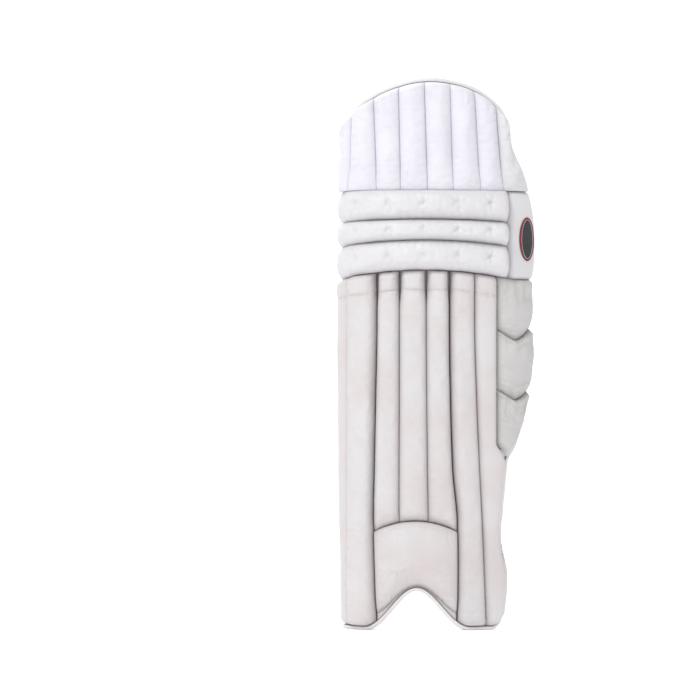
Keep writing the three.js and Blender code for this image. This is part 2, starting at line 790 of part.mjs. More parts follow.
// Half a turn round a loop's bar, from the leg side to the outside
function turnLine(bar, forwards, normal) {
  return Array.from({ length: 6 }, (unused, step) => {
    const angle = Math.PI * step / 5;
    return bar.clone()
      .addScaledVector(normal, -turnRadius * Math.cos(angle))
      .addScaledVector(forwards, turnRadius * Math.sin(angle));
  });
}

// A strap with its loop. The strap comes from the inner wall, or from the wrap that it is sewn to,
// goes through the loop and folds back on itself. The anchor holds the loop's other bar.
function addStrap(strap) {
  const way = strapWay(strap.height, strap.onWrap ? wrapThickness : strapThickness);
  const under = strap.onWrap ? wrapThickness / 2 + seat + strapThickness / 2 : 0;
  const over = under + strapThickness + seat;
  const middle = waySpot(way, strap.loopShare, under + turnRadius);
  const shift = (loopWidth - loopBar) / 2;
  const nearBar = middle.point.clone().addScaledVector(middle.direction, shift);
  const farBar = middle.point.clone().addScaledVector(middle.direction, -shift);
  const shareStep = shift / way.getLength();
  const nearShare = strap.loopShare + shareStep * 1.3;
  const farShare = strap.loopShare - shareStep * 1.3;
  const foot = strap.height - strap.width / 2;
  const head = strap.height + strap.width / 2;

  const backLift = (share) => {
    const rise = THREE.MathUtils.smoothstep(share, nearShare, nearShare + 6 * shareStep);
    return THREE.MathUtils.lerp(under + 2 * turnRadius, over, rise);
  };
  const forwards = middle.direction.clone().negate();
  const strapLine = [
    ...line(way, strap.rootShare, nearShare + shareStep, 12, () => under),
    ...turnLine(nearBar, forwards, middle.normal),
    ...line(way, nearShare + shareStep, strap.endShare, 9, backLift),
  ];
  addPiece(`${strap.name}_strap`, band(strapLine, strapThickness, () => foot, () => head), 'webbing');

  const frame = new THREE.Shape();
  roundedBox(frame, loopWidth, strap.loopHeight, loopRound);
  const window = new THREE.Path();
  roundedBox(window, loopWidth - 2 * loopBar, strap.loopHeight - 2 * loopBar, loopRound / 3);
  frame.holes.push(window);
  const loop = new THREE.ExtrudeGeometry(frame, {
    depth: loopThickness, bevelEnabled: false, curveSegments: 3,
  });
  loop.translate(0, 0, -loopThickness / 2);
  loop.rotateX(Math.PI / 2);
  loop.rotateZ(Math.atan2(middle.direction.y, middle.direction.x));
  loop.translate(middle.point.x, middle.point.y, strap.height);
  addPiece(`${strap.name}_loop`, loop, 'plastic');

  const returnShare = farShare - anchorReturn / way.getLength();
  const anchorLine = [
    ...line(way, strap.anchorShare, farShare - shareStep, 7, () => under),
    ...turnLine(farBar, middle.direction, middle.normal),
    ...line(way, farShare - shareStep, returnShare, 2, () => under + 2 * turnRadius),
  ];
  for (const tab of strap.tabs) {
    const tabFoot = (share) => THREE.MathUtils.lerp(tab.rootFoot, tab.foot, Math.min(share * 2.4, 1));
    const tabHead = (share) => THREE.MathUtils.lerp(tab.rootHead, tab.head, Math.min(share * 2.4, 1));
    addPiece(tab.name, band(anchorLine, strapThickness, tabFoot, tabHead), 'webbing');
  }
}

function roundedBox(path, width, height, radius) {
  const x = width / 2;
  const y = height / 2;
  path.moveTo(radius - x, -y);
  path.lineTo(x - radius, -y);
  path.quadraticCurveTo(x, -y, x, radius - y);
  path.lineTo(x, y - radius);
  path.quadraticCurveTo(x, y, x - radius, y);
  path.lineTo(radius - x, y);
  path.quadraticCurveTo(-x, y, -x, y - radius);
  path.lineTo(-x, radius - y);
  path.quadraticCurveTo(-x, -y, radius - x, -y);
}

// One tab as wide as its strap, or two that meet the loop from above and below
function plainTab(name, height, width) {
  const foot = height - width / 2;
  const head = height + width / 2;
  return { name, foot, head, rootFoot: foot, rootHead: head };
}
const calfFoot = calfStrapHeight - strapWidth / 2;
const calfHead = calfStrapHeight + strapWidth / 2;
const calfTabs = [
  {
    name: 'calf_anchor_upper',
    foot: calfStrapHeight + seamGap / 2,
    head: calfHead,
    rootFoot: calfStrapHeight + tabSplit / 3,
    rootHead: calfHead + tabSplit / 5,
  },
  {
    name: 'calf_anchor_lower',
    foot: calfFoot,
    head: calfStrapHeight - seamGap / 2,
    rootFoot: calfFoot - tabSplit * 0.8,
    rootHead: calfStrapHeight - tabSplit / 2,
  },
];
addStrap({
  name: 'ankle',
  height: ankleStrapHeight,
  width: strapWidth,
  loopHeight,
  rootShare: 1,
  loopShare: 0.26,
  endShare: 0.72,
  anchorShare: 0,
  onWrap: false,
  tabs: [plainTab('ankle_anchor', ankleStrapHeight, strapWidth)],
});
addStrap({
  name: 'calf',
  height: calfStrapHeight,
  width: strapWidth,
  loopHeight,
  rootShare: 1,
  loopShare: 0.335,
  endShare: 0.64,
  anchorShare: 0,
  onWrap: false,
  tabs: calfTabs,
});
addStrap({
  name: 'knee',
  height: kneeStrapHeight,
  width: kneeStrapWidth,
  loopHeight: kneeLoopHeight,
  rootShare: 0.84,
  loopShare: 0.215,
  endShare: 0.7,
  anchorShare: 0.11,
  onWrap: true,
  tabs: [plainTab('knee_anchor', kneeStrapHeight, kneeStrapWidth)],
});

// The wrap behind the knee: a padded band in three panels, lower on its outer side
const wrapWay = strapWay(kneeStrapHeight, wrapThickness);
const wrapPanels = [
  { name: 'outer', from: 0, to: 0.425, count: 9, slant: 1 },
  { name: 'centre', from: 0.43, to: 0.63, count: 5, slant: 0 },
  { name: 'inner', from: 0.635, to: 1, count: 8, slant: 0 },
];
for (const panel of wrapPanels) {
  const foot = wrapHeight - wrapWidth / 2;
  addPiece(
    `knee_wrap_${panel.name}`,
    band(
      line(wrapWay, panel.from, panel.to, panel.count, () => 0),
      wrapThickness,
      (share) => foot - wrapSlant * panel.slant * (1 - share),
      () => wrapHeight + wrapWidth / 2,
    ),
    'leather',
  );
}

// The pad stands at the middle of its own floor print
const box = new THREE.Box3().setFromObject(pad);
const centre = box.getCenter(new THREE.Vector3());
pad.position.set(-centre.x, -centre.y, -box.min.z);

export default pad;
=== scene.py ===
from types import SimpleNamespace

import bpy
import numpy as np
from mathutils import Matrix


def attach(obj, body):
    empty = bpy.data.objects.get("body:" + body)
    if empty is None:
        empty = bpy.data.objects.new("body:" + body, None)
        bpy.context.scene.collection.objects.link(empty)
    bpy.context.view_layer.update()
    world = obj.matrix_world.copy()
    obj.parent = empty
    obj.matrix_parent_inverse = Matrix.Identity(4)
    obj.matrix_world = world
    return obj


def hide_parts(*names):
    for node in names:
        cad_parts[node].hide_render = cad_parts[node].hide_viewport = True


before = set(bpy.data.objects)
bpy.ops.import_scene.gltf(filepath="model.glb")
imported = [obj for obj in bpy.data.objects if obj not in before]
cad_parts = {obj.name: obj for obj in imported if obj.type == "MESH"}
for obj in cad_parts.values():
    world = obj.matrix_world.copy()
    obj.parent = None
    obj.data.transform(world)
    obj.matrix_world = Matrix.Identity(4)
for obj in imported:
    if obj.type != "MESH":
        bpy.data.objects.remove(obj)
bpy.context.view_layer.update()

# Core board: canes under cloth, bent to a wide front, a tight inner corner and a wing that curls
# round the calf. Every other piece is sewn to it, so all of them are placed on its front face by
# a girth round the section and a height, both in millimetres, and by a distance out of the face.
arch_rise, instep_length, shin_length = 54.0, 82.0, 314.0
lower_roll, middle_roll, upper_roll, top_hat = 37.0, 26.0, 36.0, 141.0
instep_top = arch_rise + instep_length
knee_foot = instep_top + shin_length
lower_roll_top = knee_foot + lower_roll
middle_roll_top = lower_roll_top + middle_roll
knee_top = middle_roll_top + upper_roll
pad_top = knee_top + top_hat
front_radius, corner_girth, corner_radius, corner_arc = 260.0, 69.0, 35.0, 42.0
wing_girth, wing_radius = 92.0, 80.0
inner_girth, outer_girth = 120.0, 146.0
pad_bow = 12.0
arch_centre, arch_half_width = -9.0, 64.0
inner_corner, outer_corner = 12.0, 16.0
crown_shift, inner_shoulder_drop, outer_shoulder_drop = 6.0, 78.0, 68.0
board_thickness, seat, seam_gap = 3.0, 0.7, 0.2
welt_width, rim_inset = 4.4, 0.0
rim_foot = welt_width + seat
board_middle = np.array([-15.26, -21.18, 0.0])

outline = np.array([
    (0.0, 0.975, 0.66), (0.2, 0.98, 0.69), (0.5, 0.985, 0.71), (0.82, 0.99, 0.645),
    (1.05, 0.99, 0.665), (1.2, 1.0, 0.7), (1.25, 1.0, 0.72), (1.31, 1.0, 0.805),
    (1.37, 1.0, 0.85), (1.48, 1.0, 0.92), (1.53, 1.0, 0.935), (1.6, 1.0, 0.97),
    (1.7, 1.0, 0.99), (1.78, 1.0, 0.965), (1.85, 1.0, 0.975), (1.95, 1.0, 0.975),
    (2.1, 1.01, 1.01), (2.4, 1.02, 1.02), (2.7, 1.02, 1.0), (3.0, 1.0, 0.935),
    (3.2, 0.98, 0.86), (3.41, 0.935, 0.75), (3.6, 0.93, 0.745),
])
body = np.array([
    (0.0, 0.3, 1.12), (0.6, 0.15, 1.08), (1.2, 0.0, 1.02), (1.5, 0.08, 1.0), (1.8, 0.35, 1.0),
    (2.15, 0.72, 1.01), (2.6, 0.93, 1.03), (3.0, 1.0, 1.05), (3.4, 0.8, 1.08), (4.0, 0.0, 1.12),
])


def smooth(value, low, high):
    """0 below low, 1 above high, and an s-shaped cubic between them."""
    share = np.clip((value - low) / (high - low), 0, 1)
    return share * share * (3 - 2 * share)


def follow(rows, column, height):
    """A column of a table by height: cubic Hermite pieces through its rows, each slope taken from
    the rows on both sides. The first column counts the pad's parts: 1 is the instep seam, 2 the
    foot of the knee rolls, 3 their top and 4 the top of the pad."""
    levels = np.interp(rows[:, 0], range(5), (0, instep_top, knee_foot, knee_top, pad_top))
    values = rows[:, column]
    before = np.maximum(np.arange(len(rows)) - 1, 0)
    after = np.minimum(np.arange(len(rows)) + 1, len(rows) - 1)
    slopes = (values[after] - values[before]) / (levels[after] - levels[before])
    height = np.clip(height, levels[0], levels[-1])
    low = np.clip(np.searchsorted(levels, height, side="right") - 1, 0, len(rows) - 2)
    span = levels[low + 1] - levels[low]
    share = (height - levels[low]) / span
    rest = 1 - share
    return (
        rest**2 * (1 + 2 * share) * values[low]
        + share**2 * (3 - 2 * share) * values[low + 1]
        + share * rest**2 * span * slopes[low]
        - share**2 * rest * span * slopes[low + 1]
    )


def inner_edge(height):
    """Girth from the pad's middle to its inner side."""
    return inner_girth * follow(outline, 1, height)


def outer_edge(height):
    """Girth from the pad's middle to its outer side."""
    return outer_girth * follow(outline, 2, height)


def walk(arcs, girth, curl):
    """Half a section: each arc turns by its length over its radius, and the rest goes straight."""
    x = y = turn = np.zeros(np.broadcast(girth, curl).shape)
    left = girth
    for length, radius in arcs:
        part = np.minimum(left, length)
        angle = part * curl / radius
        x = x + radius / curl * (np.sin(turn + angle) - np.sin(turn))
        y = y + radius / curl * (np.cos(turn) - np.cos(turn + angle))
        turn = turn + angle
        left = left - part
    return x + left * np.cos(turn), y + left * np.sin(turn), turn


def board(girth, height, out):
    """A point of the board's front face, moved out along the face's normal: the inner or the outer
    half section by the girth's sign, pushed forward by the bow at that height."""
    girth, height, out = np.broadcast_arrays(*(np.asarray(v, float) for v in (girth, height, out)))
    curl = follow(body, 2, height)
    inner = walk([(corner_girth, front_radius), (corner_arc, corner_radius)], np.abs(girth), curl)
    outer = walk([(wing_girth, front_radius), (2 * outer_girth, wing_radius)], np.abs(girth), curl)
    x, y, turn = (np.where(girth < 0, i, o) for i, o in zip(inner, outer))
    across = np.where(girth < 0, -1.0, 1.0) * (x + out * np.sin(turn))
    along = y - out * np.cos(turn) - pad_bow * follow(body, 1, height)
    return np.stack([across, along, height], -1) + board_middle


def lower_edge(girth):
    """The board's lower edge: two lobes with rounded corners, and a cosine arch between them."""
    share = np.minimum(np.abs(girth - arch_centre) / arch_half_width, 1)
    arch = (arch_rise - rim_foot) * 0.5 * (1 + np.cos(np.pi * share))
    edge = np.where(girth < 0, inner_edge(0.0), outer_edge(0.0))
    corner = np.where(girth < 0, inner_corner, outer_corner)
    bend = np.clip((np.abs(girth) - edge + corner) / corner, 0, 1)
    return rim_foot + arch + corner * (1 - np.sqrt(1 - bend**2))


def upper_edge(girth):
    """The board's upper edge: a superellipse on each side of the crown, down to a shoulder."""
    inner = girth < crown_shift
    side = np.where(inner, -1.0, 1.0)
    drop = np.where(inner, inner_shoulder_drop, outer_shoulder_drop)
    level = pad_top - rim_foot - drop
    shoulder = np.where(inner, inner_edge(level), outer_edge(level))
    fullness = np.where(inner, 1.7, 2.0)
    share = np.clip((girth - crown_shift) / (side * shoulder - crown_shift), 0, 1)
    return pad_top - rim_foot - drop * (1 - (1 - share**fullness) ** (1 / fullness))


def between(left, right, foot, head):
    """A region of the board between two side lines, which depend on the height, and two end
    lines, which depend on the girth, as a function of two shares. Found by passes in turn."""
    def place(across, up):
        height = np.full(np.shape(across), pad_top / 2)
        for _ in range(14):
            girth = left(height) * (1 - across) + right(height) * across
            height = foot(girth) * (1 - up) + head(girth) * up
        return girth, height
    return place


def drift(seed, length, first, second=0.0):
    """Soft unevenness from -1 to 1: six sine waves of about that length, in seeded directions."""
    random = np.random.default_rng(seed)
    total = 0.0
    for _ in range(6):
        angle, phase = random.uniform(0, 2 * np.pi, 2)
        wave = 2 * np.pi / (length * random.uniform(0.6, 1.7))
        total = total + np.sin(wave * (first * np.cos(angle) + second * np.sin(angle)) + phase)
    return total / 4


def new_material(name):
    """An empty node material, its tree and its shader."""
    material = bpy.data.materials.new(name)
    material.use_nodes = True
    tree = material.node_tree
    tree.nodes.clear()
    shader = tree.nodes.new("ShaderNodeBsdfPrincipled")
    output = tree.nodes.new("ShaderNodeOutputMaterial")
    tree.links.new(shader.outputs["BSDF"], output.inputs["Surface"])
    return material, tree, shader


def add_node(tree, kind, inputs=None, **settings):
    """A node with its settings, its constant inputs and its links, which are given as sockets."""
    node = tree.nodes.new("ShaderNode" + kind)
    for key, value in settings.items():
        setattr(node, key, value)
    for key, value in (inputs or {}).items():
        if isinstance(value, bpy.types.NodeSocket):
            tree.links.new(value, node.inputs[key])
        else:
            node.inputs[key].default_value = value
    return node


def tinted(tree, shader, shade_from, light, dark, shade_tint, patch_scale):
    """Base colour: cloudy patches between two tints, and painted shade, a darker tint, where the seam
    attribute is high.
    """
    clouds = add_node(tree, "TexNoise", {"Vector": shade_from, "Scale": patch_scale, "Detail": 4.0})
    spread = add_node(tree, "MapRange", {"Value": clouds.outputs["Fac"], "From Min": 0.35,
                                         "From Max": 0.65})
    mixed = add_node(tree, "Mix", {"Factor": spread.outputs["Result"], "A": (*dark, 1),
                                   "B": (*light, 1)}, data_type="RGBA")
    # Painted shade: the seam attribute mixes in the darker shade tint at seams, hollows and hidden backs.
    seam = add_node(tree, "Attribute", attribute_name="seam")
    final = add_node(tree, "Mix", {"Factor": seam.outputs["Fac"], "A": mixed.outputs["Result"],
                                   "B": (*shade_tint, 1)}, data_type="RGBA")
    tree.links.new(final.outputs["Result"], shader.inputs["Base Color"])


def woven(name, light, dark, shade_tint, thread, roughness, patch_scale=22.0):
    """Plain weave: two crossed waves along the piece's own girth and height, a thread apart, for
    the bump, cloudy colour, and a faint nap."""
    material, tree, shader = new_material(name)
    place = add_node(tree, "TexCoord")
    tinted(tree, shader, place.outputs["Object"], light, dark, shade_tint, patch_scale)
    waves = [add_node(tree, "TexWave", {"Vector": place.outputs["UV"], "Scale": 0.314 / thread,
                                        "Distortion": 0.6, "Detail": 1.0},
                      bands_direction=direction).outputs["Fac"] for direction in "XY"]
    weave = add_node(tree, "Math", {0: waves[0], 1: waves[1]}, operation="MULTIPLY")
    fluff = add_node(tree, "TexNoise", {"Vector": place.outputs["Object"], "Scale": 900.0,
                                        "Detail": 3.0})
    height = add_node(tree, "Math", {0: weave.outputs[0], 1: fluff.outputs["Fac"]}, operation="ADD")
    bump = add_node(tree, "Bump", {"Height": height.outputs[0], "Strength": 0.5,
                                   "Distance": thread * 0.3})
    rough = add_node(tree, "MapRange", {"Value": fluff.outputs["Fac"], "To Min": roughness - 0.06,
                                        "To Max": roughness + 0.06})
    tree.links.new(rough.outputs["Result"], shader.inputs["Roughness"])
    tree.links.new(bump.outputs["Normal"], shader.inputs["Normal"])
    shader.inputs["Sheen Weight"].default_value = 0.15
    shader.inputs["Specular IOR Level"].default_value = 0.3
    return material


board_cloth = woven("board_cloth", (0.58, 0.56, 0.6), (0.52, 0.5, 0.54), (0.45, 0.43, 0.45),
                    0.0011, 0.9)
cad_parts["backing"].data.materials.clear()
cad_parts["backing"].data.materials.append(board_cloth)

# Welt: a strip of white coated leather folded over the rim of the board and stitched through at
# the back. It is deep under the foot lobes, where the pad stands on it, and slim elsewhere.
welt_back, side_lip, foot_lip, welt_fold = 6.0, 3.0, 13.0, 5.2
stitch_pitch, stitch_length, thread_radius = 3.4, 2.5, 0.36


def leather(name, light, dark, shade_tint, roughness=0.5, grain=1150.0, patch_scale=16.0):
    """Coated leather: pebbled cells about a millimetre across and finer noise for the bump,
    cloudy colour, and a sheen that varies with the patches."""
    material, tree, shader = new_material(name)
    place = add_node(tree, "TexCoord")
    tinted(tree, shader, place.outputs["Object"], light, dark, shade_tint, patch_scale)
    pebbles = add_node(tree, "TexVoronoi", {"Vector": place.outputs["Object"], "Scale": grain})
    fine = add_node(tree, "TexNoise", {"Vector": place.outputs["Object"], "Scale": grain * 1.7,
                                       "Detail": 4.0})
    creases = add_node(tree, "TexNoise", {"Vector": place.outputs["Object"], "Scale": 160.0,
                                          "Detail": 5.0, "Roughness": 0.62})
    both = add_node(tree, "Math", {0: pebbles.outputs["Distance"], 1: fine.outputs["Fac"]},
                    operation="ADD")
    small = add_node(tree, "Bump", {"Height": both.outputs[0], "Strength": 0.28,
                                    "Distance": 0.00016})
    large = add_node(tree, "Bump", {"Height": creases.outputs["Fac"], "Strength": 0.3,
                                    "Distance": 0.0008, "Normal": small.outputs["Normal"]})
    rough = add_node(tree, "MapRange", {"Value": creases.outputs["Fac"], "From Min": 0.3,
                                        "From Max": 0.7, "To Min": roughness - 0.08,
                                        "To Max": roughness + 0.1})
    tree.links.new(rough.outputs["Result"], shader.inputs["Roughness"])
    tree.links.new(large.outputs["Normal"], shader.inputs["Normal"])
    shader.inputs["Specular IOR Level"].default_value = 0.4
    return material


def closed_mesh(name, points, faces, uv=None, seam=None):
    """A mesh object from points in millimetres and faces, turned so that its volume is above 0."""
    corners = np.array([f[:3] for f in faces])
    a, b, c = points[corners[:, 0]], points[corners[:, 1]], points[corners[:, 2]]
    volume = np.einsum("ij,ij->", a, np.cross(b, c))
    quads = [f for f in faces if len(f) == 4]
    if quads:
        q = np.array(quads)
        volume += np.einsum("ij,ij->", points[q[:, 0]], np.cross(points[q[:, 2]], points[q[:, 3]]))
    if volume < 0:
        faces = [tuple(reversed(f)) for f in faces]
    mesh = bpy.data.meshes.new(name)
    mesh.from_pydata((points * 0.001).tolist(), [], faces)
    loop_vertex = np.zeros(len(mesh.loops), int)
    mesh.loops.foreach_get("vertex_index", loop_vertex)
    if uv is not None:
        layer = mesh.uv_layers.new(name="cloth")
        layer.data.foreach_set("uv", (uv[loop_vertex] * 0.001).ravel())
    # The seam attribute holds painted shade, which the materials mix in as a darker tint.
    values = np.zeros(len(points)) if seam is None else seam
    attribute = mesh.attributes.new("seam", "FLOAT", "POINT")
    attribute.data.foreach_set("value", values.astype(np.float32))
    mesh.shade_smooth()
    obj = bpy.data.objects.new(name, mesh)
    bpy.context.scene.collection.objects.link(obj)
    return obj


def finish_piece(obj, material, nodes=()):
    obj.data.materials.append(material)
    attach(obj, "root")
    if nodes:
        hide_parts(*nodes)
    return obj


def tube(name, sections, uv=None, seam=None, closed=False):
    """A closed skin through rings of points, one ring after another: capped, or joined in a loop."""
    rings, count = sections.shape[:2]
    ring = np.arange(rings if closed else rings - 1)[:, None]
    step = np.arange(count)[None, :]
    after, beside = (ring + 1) % rings, (step + 1) % count
    quads = np.stack([ring * count + step, ring * count + beside,
                      after * count + beside, after * count + step], -1).reshape(-1, 4)
    faces = [tuple(q) for q in quads.tolist()]
    if not closed:
        faces.append(tuple(range(count - 1, -1, -1)))
        faces.append(tuple(range((rings - 1) * count, rings * count)))
    flat_uv = None if uv is None else uv.reshape(-1, 2)
    flat_seam = None if seam is None else seam.reshape(-1)
    return closed_mesh(name, sections.reshape(-1, 3), faces, flat_uv, flat_seam)


def stitched(name, lines, material, pitch=stitch_pitch):
    """Rows of thread: each line is its points and its normals, and a stitch is a short bead with
    tapered ends that sinks at both, laid every pitch along the line."""
    length = pitch * stitch_length / stitch_pitch
    along = np.linspace(-1, 1, 5)
    turn = np.linspace(0, 2 * np.pi, 6, endpoint=False)
    thick = thread_radius * np.sqrt(np.clip(1 - (along * 0.92) ** 4, 0.05, 1))
    a, t = np.meshgrid(along, turn, indexing="ij")
    radius = thick[:, None] * np.ones_like(t)
    bead = np.stack([a * length / 2, radius * np.cos(t) * 1.15,
                     radius * np.sin(t) + thread_radius * (0.35 - 0.9 * a**4)], -1)
    all_points, all_faces, start = [], [], 0
    step = np.arange(4)[:, None] * 6
    spoke = np.arange(6)[None, :]
    quads = np.stack([step + spoke, step + (spoke + 1) % 6, step + 6 + (spoke + 1) % 6,
                      step + 6 + spoke], -1).reshape(-1, 4)
    for points, normals in lines:
        steps = np.linalg.norm(np.diff(points, axis=0), axis=1)
        run = np.concatenate([[0], np.cumsum(steps)])
        count = int((run[-1] - 0.5 * pitch) / pitch)
        if count < 1:
            continue
        places = (np.arange(count) + 0.5) * run[-1] / count
        spot = np.stack([np.interp(places, run, points[:, i]) for i in range(3)], -1)
        ahead = np.stack([np.interp(places + 0.3, run, points[:, i]) for i in range(3)], -1)
        behind = np.stack([np.interp(places - 0.3, run, points[:, i]) for i in range(3)], -1)
        up = np.stack([np.interp(places, run, normals[:, i]) for i in range(3)], -1)
        way = ahead - behind
        way /= np.linalg.norm(way, axis=1, keepdims=True)
        up -= way * (up * way).sum(1, keepdims=True)
        up /= np.linalg.norm(up, axis=1, keepdims=True)
        aside = np.cross(up, way)
        beads = (spot[:, None, None] + bead[None, ..., 0:1] * way[:, None, None]
                 + bead[None, ..., 1:2] * aside[:, None, None]
                 + bead[None, ..., 2:3] * up[:, None, None])
        all_points.append(beads.reshape(-1, 3))
        offsets = start + 30 * np.arange(count)
        all_faces += (quads[None] + offsets[:, None, None]).reshape(-1, 4).tolist()
        for end in (np.arange(5, -1, -1), np.arange(24, 30)):
            all_faces += (end[None] + offsets[:, None]).tolist()
        start += 30 * count
    obj = closed_mesh(name, np.concatenate(all_points), [tuple(f) for f in all_faces])
    return finish_piece(obj, material)


def rim_line(across, up):
    """Points round the rim in girth and height, with the way outwards from the board's edge."""
    girth, height = between(lambda h: -inner_edge(h), outer_edge, lower_edge, upper_edge)(across, up)
    line = np.stack([girth, height], -1)
    way = np.roll(line, -1, axis=0) - np.roll(line, 1, axis=0)
    way /= np.linalg.norm(way, axis=1, keepdims=True)
    way = sum(np.roll(way, shift, axis=0) for shift in range(-3, 4))
    way /= np.linalg.norm(way, axis=1, keepdims=True)
    return girth, height, np.stack([way[:, 1], -way[:, 0]], -1)


def welt(name, line, lip, node):
    """A strip folded over the rim. Its section is a rounded oblong outside the rim, as deep as the
    lip at that place, with a thin flap that turns in over the back of the board. The section is
    carried along the rim line, and puckers a little between its stitches."""
    girth, height, outward = line
    run = np.concatenate([[0], np.cumsum(np.hypot(np.diff(girth), np.diff(height)))])
    inner, outer, flap = seat, seat + welt_width, 1.5
    depth = -board_thickness - 0.35
    section = np.array([
        (inner, -1.0, 0), (inner, 0.0, 0), (inner, 0.5, 1), (inner + 0.25, 0.93, 1),
        (inner + 0.9, 1.0, 1), (inner + 1.9, 1.03, 1), (outer - 1.3, 0.98, 1),
        (outer - 0.45, 0.85, 1), (outer, 0.55, 1), (outer + 0.15, 0.0, 0), (outer, -3.0, 0),
        (outer - 0.5, -5.0, 0), (outer - 1.5, -6.0, 0), (inner + 0.6, -6.1, 0), (-1.0, -5.6, 0),
        (-welt_fold + 1, depth - flap, 0), (-welt_fold + 0.2, depth - flap + 0.3, 0),
        (-welt_fold, depth - flap / 2, 0), (-welt_fold + 0.3, depth - 0.1, 0), (-1.0, depth, 0),
        (inner - 0.3, depth, 0), (inner, -2.4, 0),
    ])
    on_lip = section[:, 2] > 0
    pucker = 0.2 * np.sin(run[:, None] * 1.9 + 2 * drift(5, 60, run)[:, None])
    uneven = 0.3 * drift(6, 30, girth, height)[:, None]
    away = section[:, 0] + (pucker + uneven) * (section[:, 0] > outer - 2)
    out = np.where(on_lip, section[:, 1] * lip[:, None], section[:, 1])
    out = out + pucker * (section[:, 1] < depth - 1)
    points = board(girth[:, None] + outward[:, :1] * away, height[:, None] + outward[:, 1:] * away,
                   out)
    points[..., 2] = np.maximum(points[..., 2], 0)
    wrap = np.concatenate([[0], np.cumsum(np.hypot(*np.diff(section[:, :2], axis=0).T))])
    uv = np.stack(np.broadcast_arrays(run[:, None], wrap[None]), -1)
    # Painted shade on the inner side of the welt, where it lies against the board.
    seam = np.broadcast_to(np.where(section[:, 0] < inner + 0.1, 0.35, 0.0), points.shape[:2])
    obj = tube(name, points, uv, seam)
    spot = -welt_fold + 2.2
    level = board(girth + outward[:, 0] * spot, height + outward[:, 1] * spot, depth - flap - 0.35)
    above = board(girth + outward[:, 0] * spot, height + outward[:, 1] * spot, depth)
    finish_piece(obj, welt_leather, [node])
    return level[3:-3], (level - above)[3:-3]


welt_leather = leather("welt_leather", (0.68, 0.665, 0.665), (0.63, 0.61, 0.61),
                       (0.45, 0.42, 0.42), 0.5)
thread_white = woven("sewing_thread", (0.74, 0.72, 0.73), (0.68, 0.66, 0.67), (0.6, 0.58, 0.58),
                     0.0004, 0.7)
foot_steps, side_steps, top_steps = 300, 419, 260
foot_share = 0.5 - 0.5 * np.cos(np.linspace(0, np.pi, foot_steps))
climb = np.linspace(0.001, 1, side_steps + 1)[:-1]
over = 0.5 + 0.5 * np.cos(np.linspace(0, np.pi, top_steps))
rim = rim_line(np.concatenate([foot_share, np.ones(side_steps), over, np.zeros(side_steps)]),
               np.concatenate([np.zeros(foot_steps), climb, np.ones(top_steps), climb[::-1]]))
lip_run = smooth(np.minimum(foot_share, 1 - foot_share), 0.0, 0.07)
foot_row = welt("foot_welt", [part[:foot_steps] for part in rim],
                side_lip + (foot_lip - side_lip) * lip_run, "foot_binding")
side_rim = [np.concatenate([part[foot_steps - 1:], part[:1]]) for part in rim]
side_row = welt("side_welt", side_rim, np.full(len(side_rim[0]), side_lip), "edge_binding")
stitched("welt_stitches", [foot_row, side_row], thread_white)

# Shin rolls: seven upright tubes of coated leather over cotton and foam, sewn down between them.
# The outer ones run to the floor, and the middle three end at the instep pad. A stitched crease
# crosses them below the knee, and above it they are tighter and stand apart.
roll_girth, shin_roll_rise, edge_roll_rise = 30.5, 20.0, 14.0
knee_sag, instep_sag, crease_drop, wing_foot_rise = 12.0, 14.0, 25.0, 76.0
shin_seams = np.array([
    (0.0, -2.97, -1.9, -0.98, 0.16, 1.33, 2.47, 2.91),
    (1.0, -2.97, -2.03, -0.98, 0.16, 1.33, 2.3, 2.91),
    (1.2, -2.97, -2.0, -0.98, 0.13, 1.15, 2.2, 2.91),
    (1.5, -2.97, -1.94, -0.97, 0.1, 1.05, 2.07, 2.91),
    (1.75, -2.97, -1.89, -0.97, 0.08, 1.01, 1.99, 2.91),
    (2.0, -2.97, -1.89, -0.97, 0.08, 1.01, 1.99, 2.91),
])


def knee_line(girth):
    """The foot of the knee rolls, lower towards both sides."""
    return knee_foot - knee_sag * np.minimum(np.abs(girth) / (3.6 * roll_girth), 1) ** 2


def instep_line(girth):
    """The seam between the instep pad and the rolls above it, an arch."""
    share = np.minimum(np.abs(girth + 0.35 * roll_girth) / (1.7 * roll_girth), 1)
    return instep_top - instep_sag * share**2


def sole_line(girth):
    """Just inside the lower edge."""
    return lower_edge(girth) + rim_inset


def shin_seam(index, height):
    """Girth of a seam between the shin rolls: 0 and 7 are the rims, as far as the wing's foot."""
    if index == 0:
        return rim_inset - inner_edge(height)
    seam = roll_girth * follow(shin_seams, index, height)
    if index < 7:
        return seam
    wing_foot = instep_top + wing_foot_rise
    low = smooth(height, wing_foot - 6, wing_foot + 22)
    return (outer_edge(height) - rim_inset) * (1 - low) + seam * low


def bulge(share, power):
    """The height of stuffing across a seam-to-seam width: 1 in the middle, flatter with a higher
    power, and falling to 0 at both seams."""
    return np.maximum(1 - np.abs(2 * share - 1) ** power, 0) ** 0.85


def rounding(distance, radius):
    """How a stuffed face comes up from a seam at that distance: a rounded shoulder, then flat."""
    return (1 - (1 - np.clip(distance / radius, 0, 1)) ** 2) ** 0.8


def puckers(distance, along, seed, length=8.0, depth=0.5, reach=5.0):
    """Pleats that stitches draw across a seam: waves along it, with a wandering phase, that die
    out with the distance from it."""
    phase = 2.2 * drift(seed, 5 * length, along)
    strength = 0.6 + 0.4 * drift(seed + 7, 9 * length, along)
    wave = np.sin(2 * np.pi * along / length + phase)
    return depth * strength * np.exp(-distance / reach) * np.minimum(distance / 0.8, 1) * wave


sewn_covers = []


